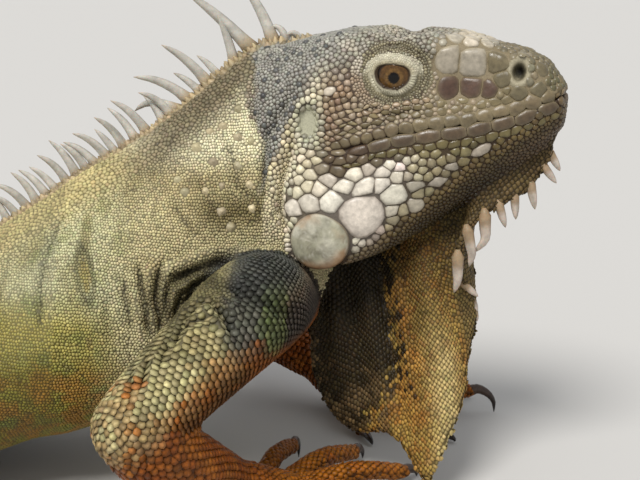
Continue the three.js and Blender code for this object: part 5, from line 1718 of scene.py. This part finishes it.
def coat_arrays(pick, kind_number):
    """Points, faces, colours and chart places of the picked scales, all of one kind."""
    sides, rings = PROFILES[kind_number]
    angles = 2 * np.pi * np.arange(sides) / sides + (0 if sides == 6 else math.pi / sides)
    reach = cell_reach(pick, angles)
    count = len(pick)
    c, sn = np.cos(angles), np.sin(angles)
    keeled = kind_number in (KEELED, WHORL)
    flat = reach[..., None] * (
        c[:, None] * (aspect[pick][:, None] * lie[pick])[:, None] + sn[:, None] * across[pick][:, None]
    )
    rearward = 0.5 + 0.5 * c
    levels = []
    for number, (outward, rise, _) in enumerate(rings):
        high = rise * height[pick][:, None] + np.zeros(sides)
        spread_out = np.full(sides, outward)
        if keeled and number == 1:
            high = height[pick][:, None] * (0.12 + rearward**1.3)
            spread_out = outward + 0.22 * rearward**2
        if keeled and number == 0:
            spread_out = outward - 0.12 * rearward
        level = spots[pick][:, None] + flat * spread_out[:, None]
        if kind_number == PLATE:
            move = settle(level.reshape(-1, 3))[0].reshape(level.shape) - level
            fall = (move * out[pick][:, None]).sum(axis=2)
            aside = move - out[pick][:, None] * fall[..., None]
            far = np.linalg.norm(aside, axis=2)
            level = level + aside * (np.maximum(far - PLATE_SLACK, 0) / np.maximum(far, 0.1))[..., None]
            high = high + np.clip(fall, -0.5 * size[pick][:, None], 0.25)
        levels.append(level + out[pick][:, None] * high[..., None])
    peak = spots[pick] + out[pick] * height[pick][:, None]
    peak = peak + lie[pick] * (LEAN[kind_number] * size[pick] / 2 * aspect[pick])[:, None]
    verts = np.concatenate([*levels, peak[:, None]], axis=1)
    per = verts.shape[1]
    colours, uvs = [], []
    for number, (outward, _, own) in enumerate(rings):
        ring = np.repeat((rim[pick] + (base[pick] - rim[pick]) * own)[:, None], sides, axis=1)
        # Keeled scales lighter towards the raised rear edge and darker at the front: a painted highlight on
        # the raised edge.
        if keeled and number == 1:
            ring = ring * (0.75 + 0.6 * rearward**2)[:, None]
        colours.append(np.clip(ring, 0, 1))
        circle = np.stack([c, sn], axis=1) * UV_RADIUS * outward
        uvs.append(root_uv[pick][:, None] + circle)
    # The tip of each scale, 12 per cent lighter than its own colour: partly a paler tip, partly a painted
    # highlight.
    colours.append(np.clip(base[pick] * 1.12, 0, 1)[:, None])
    uvs.append(root_uv[pick][:, None])
    quad = [
        [r * sides + k, (r + 1) * sides + k, (r + 1) * sides + (k + 1) % sides, r * sides + (k + 1) % sides]
        for r in range(len(rings) - 1)
        for k in range(sides)
    ]
    last = (len(rings) - 1) * sides
    tri = [[last + k, per - 1, last + (k + 1) % sides] for k in range(sides)]
    start = np.arange(count)[:, None, None] * per
    quads = (np.array(quad, int).reshape(1, -1, 4)[:, :, ::-1] + start).reshape(-1, 4)
    tris = (np.array(tri, int)[None, :, ::-1] + start).reshape(-1, 3)
    verts = verts.reshape(-1, 3)
    verts[:, 2] = np.maximum(verts[:, 2], 0.03)
    colours, uvs = np.concatenate(colours, axis=1), np.concatenate(uvs, axis=1)
    return verts, quads, tris, colours.reshape(-1, 3), uvs.reshape(-1, 2)


def add_coat(name, chosen, material):
    """One joined mesh of the chosen scales."""
    made, total = [], 0
    for kind_number in PROFILES:
        pick = np.flatnonzero(chosen & (kind == kind_number))
        if not len(pick):
            continue
        verts, quads, tris, colours, uvs = coat_arrays(pick, kind_number)
        made.append((verts, quads + total, tris + total, colours, uvs))
        total += len(verts)
    arrays = [np.concatenate(parts) for parts in zip(*made)]
    add_piece(name, mesh_of(name, *arrays), material)


left = np.where(of_torso, share[:, 1] > 0.5, spots[:, 1] > 0)
arm_part, leg_part = of_limbs & (spots[:, 0] > 60), of_limbs & ~(spots[:, 0] > 60)
neck_part = of_torso & (share[:, 0] < 0.3)
fore_part, hind_part = share[:, 0] < 0.66, share[:, 0] >= 0.66
jaw_part = of_head & (z_at < lip_height(s_at))
for side_name, on_side in (("right", ~left), ("left", left)):
    add_coat("neck_scales_" + side_name, neck_part & on_side, granule_finish)
    trunk_part = of_torso & ~neck_part & on_side
    add_coat("fore_trunk_scales_" + side_name, trunk_part & fore_part, granule_finish)
    add_coat("hind_trunk_scales_" + side_name, trunk_part & hind_part, granule_finish)
    add_coat("arm_scales_" + side_name, arm_part & on_side, keeled_finish)
    add_coat("leg_scales_" + side_name, leg_part & on_side, keeled_finish)
add_coat("head_scales", of_head & ~jaw_part, plate_finish)
add_coat("jaw_scales", jaw_part, plate_finish)
add_coat("dewlap_scales", region == DEWLAP_REGION, lap_finish)
add_coat("tail_scales_fore", of_tail & (share[:, 0] < 0.25), tail_finish)
add_coat("tail_scales_hind", of_tail & (share[:, 0] >= 0.25), tail_finish)

# ---- The skin as a piece -------------------------------------------------------------------------
skin_tone = markings(co, tag, skin_share)
s_at, l_at, z_at = to_head(co)
head_skin = skin_region == HEAD_REGION
in_pit = (nostril_distance(s_at, z_at) < 4.1) & head_skin
on_rim = near_eye(co, 13) & (np.abs(l_at) > EYE_SIDE + 1) & (lid_distance(s_at, z_at)[0] < 3.4)
in_ear = ear_distance(s_at, z_at) < 1
bare = (in_pit | on_rim | in_ear & (np.abs(l_at) > 12))[:, None]
skin_tone = np.where(bare, skin_tone, skin_tone * 0.34 + UMBER * 0.1)
skin_tone = np.where(head_skin[:, None] & ~bare, skin_tone * 0.45 + GROOVE * 0.35, skin_tone)
pale_seam = ease(9, 14, s_at) * ease(0.6, 1.6, z_at - lip_height(s_at)) * head_skin
wash(skin_tone, paint(156, 142, 112), pale_seam * 0.6 * ~bare[:, 0])
set_tone(skin, skin_tone)
set_coordinates(skin, co * MM)
skin.polygons.foreach_set("use_smooth", np.ones(len(skin.polygons), bool))
skin.name = "whole_skin"
flesh = [
    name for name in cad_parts
    if not any(word in name for word in ("eye_", "eardrum", "shield", "claw"))
]
add_piece("whole_skin", skin, skin_finish, flesh)


# ---- Horn: crest, throat spikes and claws --------------------------------------------------------
def horn_template(sides, lengths):
    """A unit cone along Z, cut into rings, as vertex and face arrays."""
    bm = bmesh.new()
    bmesh.ops.create_cone(
        bm, cap_ends=True, cap_tris=False, segments=sides, radius1=1, radius2=1, depth=1,
        matrix=Matrix.Translation((0, 0, 0.5)),
    )
    upright = [e for e in bm.edges if abs(e.verts[0].co.z - e.verts[1].co.z) > 0.5]
    bmesh.ops.subdivide_edges(bm, edges=upright, cuts=lengths - 1)
    caps = [f for f in bm.faces if len(f.verts) == sides]
    bmesh.ops.poke(bm, faces=caps)
    bmesh.ops.recalc_face_normals(bm, faces=bm.faces)
    verts = np.array([v.co for v in bm.verts])
    quads = np.array([[v.index for v in f.verts] for f in bm.faces if len(f.verts) == 4])
    tris = np.array([[v.index for v in f.verts] for f in bm.faces if len(f.verts) == 3])
    bm.free()
    return verts, quads, tris


def horn(template, root, path, across_way, wide, thick, taper):
    """The template bent along a path of points, wide along the path's plane and thick across it."""
    verts = template[0]
    t = verts[:, 2]
    last = len(path) - 1
    centre = through(path, t * last)
    further, nearer = np.minimum(t + 0.02, 1), np.maximum(t - 0.02, 0)
    ahead = unit(through(path, further * last) - through(path, nearer * last))
    side = unit(np.cross(ahead, np.cross(across_way, ahead)))
    front = unit(np.cross(side, ahead))
    share = taper(t)
    forward, sideward = verts[:, 0] * wide * share, verts[:, 1] * thick * share
    return root + centre + front * forward[:, None] + side * sideward[:, None]


def join_horns(name, template, shapes, tones, material, stands_for=()):
    size = len(template[0])
    verts, colours = np.concatenate(shapes), np.concatenate(tones)
    start = np.arange(len(shapes))[:, None, None] * size
    quads = (template[1][None] + start).reshape(-1, 4)
    tris = (template[2][None] + start).reshape(-1, 3)
    mesh = mesh_of(name, verts, quads, tris, np.clip(colours, 0, 1))
    bm = bmesh.new()
    bm.from_mesh(mesh)
    bmesh.ops.recalc_face_normals(bm, faces=bm.faces)
    bm.to_mesh(mesh)
    bm.free()
    add_piece(name, mesh, material, stands_for)


def spine_path(length, lean, bend, sway):
    """A line in the plane of the back, from up to rearward, and a little to the side."""
    angle, at, path = math.radians(lean), np.zeros(3), [np.zeros(3)]
    for step in range(4):
        angle += math.radians(bend) * (0.5 + 0.33 * step)
        at = at + length / 4 * np.array([-math.sin(angle), sway * (0.3 + 0.3 * step), math.cos(angle)])
        path.append(at.copy())
    return np.array(path)


spine_shape = horn_template(8, 8)
spine_t = spine_shape[0][:, 2]


def spine_taper(t):
    return (1 - t**3.6) ** 0.7 * (1 - 0.34 * t) * (1 + 0.35 * ease(0.2, 0.0, t)) + 0.05


def spine_tone(root, pale):
    streak = noise(spine_shape[0] * [3, 3, 2] + root, 1.3, 81)
    colour = plain(pale * (0.94 + 0.12 * chance.random()), len(spine_t))
    wash(colour, HORN_GREY, ease(-0.1, 0.8, streak) * 0.5)
    wash(colour, paint(166, 144, 108), ease(0.24, 0.08, spine_t) * 0.85)
    return wash(colour, paint(150, 132, 100), ease(0.85, 1.0, spine_t) * 0.5)


# Crest spines seen on this animal: x along the back, length, lean to the rear, bend per step, sway.
NAPE_SPINES = [
    (196, 4, 0, 30, 0.2), (193, 6, -12, 34, -0.2), (190.5, 5, 6, 30, 0.3), (188, 8, -6, 26, 0.1),
    (184, 24, 17, 6, 0.1), (176.5, 29, 42, 3, -0.1), (170, 16, 12, 3, -0.15), (164.5, 9, 36, 6, 0.3),
    (161, 20, 36, 6, -0.2), (158, 10, 44, 6, 0.3), (154.5, 20, 46, 9, -0.3), (150.5, 16, 56, 18, 0.3),
    (148, 13, 32, 10, -0.2), (145, 11, 24, 7, 0.4), (139.5, 16, 30, 8, -0.1), (135.5, 14, 26, 8, 0.3),
    (131.5, 14, 24, 8, -0.3), (128.5, 10, 34, 4, 0.2), (125.5, 14, 32, 10, -0.1), (121.5, 13, 38, 9, 0.2),
    (118, 12, 24, 8, -0.2), (114.5, 15, 22, 8, 0.2),
]
crest_shapes, crest_tones = [], []
ridge = torso_section(np.linspace(0, 1, 2400))[0]


def add_spine(at, length, lean, bend, sway, turn=0.0, pale=HORN_PALE):
    wide, thick = 1.05 + length * 0.045, 0.85 + length * 0.03
    path = spine_path(length + 1.6, lean, bend, sway)
    c, s = math.cos(turn), math.sin(turn)
    path = path @ np.array([[c, -s, 0], [s, c, 0], [0, 0, 1]]).T
    across_way = np.array([-s, c, 0]) + 0.05
    root = np.array(at) + [0, 0, -1.8]
    crest_shapes.append(horn(spine_shape, root, path, across_way, wide, thick, spine_taper))
    crest_tones.append(spine_tone(root, pale))


def back_at(x):
    return ridge[np.argmin(np.abs(ridge[:, 0] - x))]


for x, length, lean, bend, sway in NAPE_SPINES:
    add_spine(back_at(x), length, lean, bend, sway)
x = 111.0
while x > -112:
    length = np.interp(x, [-112, -40, 40, 90, 111], [7.5, 9.5, 11, 12.5, 14]) * chance.uniform(0.72, 1.12)
    add_spine(back_at(x), length, chance.uniform(16, 34), chance.uniform(5, 12), chance.uniform(-0.25, 0.25))
    x -= chance.uniform(3.0, 4.2)
CREST_ON_TAIL = 0.62  # share of the tail's length that has a crest
walk = 3.0
while walk < CREST_ON_TAIL * TAIL_LENGTH:
    t = np.array([walk / TAIL_LENGTH])
    at = tail_section(t)[0][0]
    length = np.interp(walk, [0, 60, 250, 500], [7, 6, 4, 2]) * chance.uniform(0.8, 1.12)
    turn = -float(tail_heading(t)[0])
    add_spine(at, length, chance.uniform(28, 42), 9, chance.uniform(-0.1, 0.1), turn, paint(150, 146, 120))
    walk += np.interp(walk, [0, 500], [3.6, 4.6])
join_horns("crest_spines", spine_shape, crest_shapes, crest_tones, horn_finish)

# Soft pale spikes along the front edge of the dewlap, chin first: the root's forward place and
# height, then the tip's, and how far the middle bows forward.
THROAT_SPIKES = [
    ((275, 119.6), (278, 114.4), 0), ((274.4, 114.4), (278.6, 109), 0), ((271.6, 107), (273.2, 99), 0),
    ((267.4, 100.6), (268, 93.3), 0), ((261.3, 99.6), (263.5, 92.5), 0), ((257, 94.7), (254.6, 82.3), 2.6),
    ((252, 90), (253, 78.4), 1.2), ((247.4, 83), (246.6, 71), 0.8), ((250.4, 72), (254.6, 68.4), 0),
    ((253.6, 66), (255.5, 62), 0), ((254.5, 60.4), (254.9, 58), 0),
]


def spike_taper(t):
    return spine_taper(t) * (0.15 + 0.85 * ease(-0.05, 0.16, t))


edge_line = dewlap_sheet(np.linspace(0, 0.62, 500), np.full(500, 0.985))
flat_way = np.array([0.15, 1.0, 0.0])
spike_shapes, spike_tones = [], []
for root, tip, bow in THROAT_SPIKES:
    near_edge = int(np.argmin(np.hypot(edge_line[:, 0] - root[0], edge_line[:, 2] - root[1])))
    along = np.array([tip[0] - root[0], 0.0, tip[1] - root[1]])
    length = np.linalg.norm(along) * 1.05
    inward = -unit(along) * 3.2
    path = np.array([
        inward, along * 0.3 + [bow * 0.7, -0.2, 0], along * 0.65 + [bow, -0.4, 0], along + [0, -0.3, 0],
    ])
    foot, wide, thick = edge_line[near_edge], 0.8 + length * 0.1, 0.8 + length * 0.06
    spike_shapes.append(horn(spine_shape, foot, path, flat_way, wide, thick, spike_taper))
    tone = spine_tone(foot, paint(192, 178, 164))
    spike_tones.append(wash(tone, paint(146, 124, 96), ease(0.42, 0.22, spine_t) * 0.9))
join_horns("throat_spikes", spine_shape, spike_shapes, spike_tones, horn_finish)

claw_shape = horn_template(10, 9)
claw_t = claw_shape[0][:, 2]


def claw_taper(t):
    return (1 - t) ** 0.75 * 0.97 + 0.05


for limb_name, limb in LIMBS.items():
    shapes, tones = [], []
    for digit in limb["digits"]:
        at, radius, way, _, _ = tube_frames(digit, 9)
        level = unit(np.array([way[-1][0], way[-1][1], 0.0]))
        start, thick = at[-1] + way[-1] * (radius[-1] * 0.2), radius[-1] * 0.74
        length = CLAW_LENGTH[limb_name]
        drop = start[2] - 0.45
        path = np.array([
            [0, 0, 0], [length * 0.32, 0, min(0.9, drop * 0.12)], [length * 0.68, 0, -drop * 0.12],
            [length * 0.9, 0, -drop * 0.5], [length * 0.93, 0, -drop],
        ])
        path = np.outer(path[:, 0], level) + np.outer(path[:, 2], [0, 0, 1])
        across_way = np.cross(level, [0, 0, 1])
        shapes.append(horn(claw_shape, start, path, across_way, thick, thick * 0.82, claw_taper))
        tone = plain(paint(66, 46, 32), len(claw_t))
        wash(tone, paint(30, 20, 15), ease(0.3, 0.8, claw_t))
        tones.append(wash(tone, paint(120, 84, 48), ease(0.14, 0.0, claw_t) * 0.7))
    names = [limb_name + "_claw_%d" % (k + 1) for k in range(5)]
    for shape in shapes:
        shape[:, 2] = np.maximum(shape[:, 2], 0.05)
    join_horns(limb_name + "_claws", claw_shape, shapes, tones, claw_finish, names)


# ---- Eyes, eardrums and jowl shields -------------------------------------------------------------
def ring_and_turn(part):
    """A number that puts the parts of a ball in order, ring by ring and then by their turn."""
    corners = getattr(part, "verts", [part])
    x, y, z = sum((vert.co for vert in corners), Vector()) / len(corners)
    return z * 1e4 + math.atan2(y, x)


def ball(bm, segments, rings):
    bmesh.ops.create_uvsphere(bm, u_segments=segments, v_segments=rings, radius=1)
    for parts in (bm.verts, bm.edges, bm.faces):
        parts.sort(key=ring_and_turn)
    return np.array([v.co for v in bm.verts])


def finish_bmesh(bm, name, co, colour):
    for vert, p in zip(bm.verts, co):
        vert.co = p * MM
    bmesh.ops.recalc_face_normals(bm, faces=bm.faces)
    mesh = bpy.data.meshes.new(name)
    bm.to_mesh(mesh)
    bm.free()
    mesh.polygons.foreach_set("use_smooth", np.ones(len(mesh.polygons), bool))
    set_tone(mesh, np.clip(colour, 0, 1))
    return mesh


for side_name, side in (("right", -1), ("left", 1)):
    # The eyeball's pole looks outward, a little forward and down.
    bm = bmesh.new()
    p = ball(bm, 64, 64)
    gaze = unit(np.array([0.09, -0.08 * side, 1.0]))
    away = np.arccos(np.clip(p @ gaze, -1, 1)) * EYE_RADIUS
    bulge = 1 + 0.028 * bell(away, 4.6)
    s, z, l = (p * EYE_RADIUS * bulge[:, None] * [1, side, side]).T
    spots_eye = to_world(s, l + side * EYE_SIDE, z + EYE_UP)
    angle = np.arctan2(p[:, 1] - gaze[1], p[:, 0] - gaze[0])
    ray = noise(np.column_stack([np.cos(angle) * 9, np.sin(angle) * 9, away * 0.35]), 1.0, 91)
    tone = plain(paint(7, 5, 4), len(p))
    wash(tone, paint(118, 88, 48), ease(1.75, 2.1, away) * (0.8 + 0.2 * ray))
    wash(tone, paint(66, 46, 26), ease(2.6, 3.8, away) * (0.85 + 0.3 * ray))
    wash(tone, paint(96, 68, 36), bell(away - 4.4, 0.7) * 0.7)
    wash(tone, paint(26, 18, 12), ease(4.9, 5.8, away))
    mesh = finish_bmesh(bm, "eyeball_" + side_name, spots_eye, tone)
    add_piece("eyeball_" + side_name, mesh, eye_finish, ["eye_" + side_name])

    # The shield: an uneven dome with a rolled edge, pale with brown stains.
    bm = bmesh.new()
    p = ball(bm, 56, 40)
    angle = np.arctan2(p[:, 1], p[:, 0])
    wobble = 1 + 0.022 * np.sin(2 * angle + 0.7) + 0.016 * np.sin(3 * angle + 2) + 0.008 * np.sin(5 * angle)
    s, z = p[:, 0] * SHIELD_RADIUS * wobble, p[:, 1] * SHIELD_RADIUS * wobble * 0.985
    dome = np.sign(p[:, 2]) * np.abs(p[:, 2]) ** 0.8
    at = np.column_stack([s, z, dome * 5])
    dome = dome * (2.5 + 0.1 * clouds(at, 5, 93)) * np.where(p[:, 2] > 0, 1, 0.9)
    l = SHIELD_SIDE + dome - 0.25 + 0.05 * (z + 3)
    spots_shield = to_world(SHIELD_AT[0] + s, side * l, SHIELD_AT[1] + z)
    stain = clouds(at, 6, 95)
    # Greyish ground of the shield: its pale colour darkened by painted half-shade.
    tone = plain(paint(158, 155, 134), len(p))
    wash(tone, paint(204, 200, 182), ease(-0.1, 0.5, stain) * 0.75)
    wash(tone, paint(112, 106, 88), ease(0.05, 0.5, clouds(at, 3, 97)) * 0.6)
    wash(tone, paint(212, 208, 192), ease(0.25, 0.55, clouds(at, 1.3, 98)) * 0.5)
    edge = np.hypot(p[:, 0], p[:, 1])
    brown = ease(0.0, 0.5, clouds(at, 7, 99) + 0.55 * ease(0, -8, z)) * ease(0.5, 0.95, edge)
    wash(tone, paint(138, 94, 48), brown * 0.75)
    wash(tone, paint(90, 64, 42), ease(0.93, 1.0, edge) * 0.6)
    mesh = finish_bmesh(bm, "jowl_plate_" + side_name, spots_shield, tone)
    add_piece("jowl_plate_" + side_name, mesh, shield_finish, ["jowl_shield_" + side_name])

    # The eardrum: a shallow dish.
    bm = bmesh.new()
    p = ball(bm, 32, 20)
    s, z = p[:, 0] * EAR_HALF[0] * 1.05, p[:, 1] * EAR_HALF[1] * 1.05
    middle = 1 - np.hypot(p[:, 0], p[:, 1])
    uneven = noise(np.column_stack([s, z, 0 * s]), 2, 5)
    l = EAR_SIDE + p[:, 2] * 0.5 - 0.8 * ease(0, 1, middle) + 0.25 * uneven
    tone = plain(paint(158, 164, 134), len(p))
    wash(tone, paint(120, 124, 96), ease(-0.1, 0.5, clouds(np.column_stack([s, z, l]), 3, 7)))
    mesh = finish_bmesh(bm, "ear_membrane_" + side_name, to_world(EAR[0] + s, side * l, EAR[1] + z), tone)
    add_piece("ear_membrane_" + side_name, mesh, drum_finish, ["eardrum_" + side_name])

# ---- Floor, light and camera ---------------------------------------------------------------------
scene = bpy.context.scene
bm = bmesh.new()
bmesh.ops.create_grid(bm, x_segments=8, y_segments=8, size=4)
floor_mesh = bpy.data.meshes.new("studio_floor")
bm.to_mesh(floor_mesh)
bm.free()
floor = bpy.data.objects.new("studio_floor", floor_mesh)
scene.collection.objects.link(floor)
floor_material = bpy.data.materials.new("pale_floor")
floor_material.use_nodes = True
floor_shader = floor_material.node_tree.nodes["Principled BSDF"]
floor_shader.inputs["Base Color"].default_value = (0.56, 0.55, 0.53, 1)
floor_shader.inputs["Roughness"].default_value = 0.8
floor_mesh.materials.append(floor_material)

world = bpy.data.worlds.new("studio")
world.use_nodes = True
world.node_tree.nodes["Background"].inputs["Color"].default_value = (0.95, 0.97, 1, 1)
world.node_tree.nodes["Background"].inputs["Strength"].default_value = 0.58
scene.world = world

daylight = bpy.data.lights.new("daylight", "SUN")
daylight.energy = 2.85
daylight.angle = math.radians(24)
daylight.color = (1, 0.975, 0.94)
sun = bpy.data.objects.new("daylight", daylight)
scene.collection.objects.link(sun)
sun.rotation_euler = (math.radians(32), math.radians(-16), 0)

camera = bpy.data.cameras.new("camera")
camera.sensor_width = 36
camera.lens = 81.28
camera.clip_start = 0.05
holder = bpy.data.objects.new("camera", camera)
scene.collection.objects.link(holder)
holder.location = (0.2, -0.5, 0.208)
holder.rotation_euler = (math.radians(76), 0, 0)
scene.camera = holder
scene.view_settings.view_transform = "Standard"
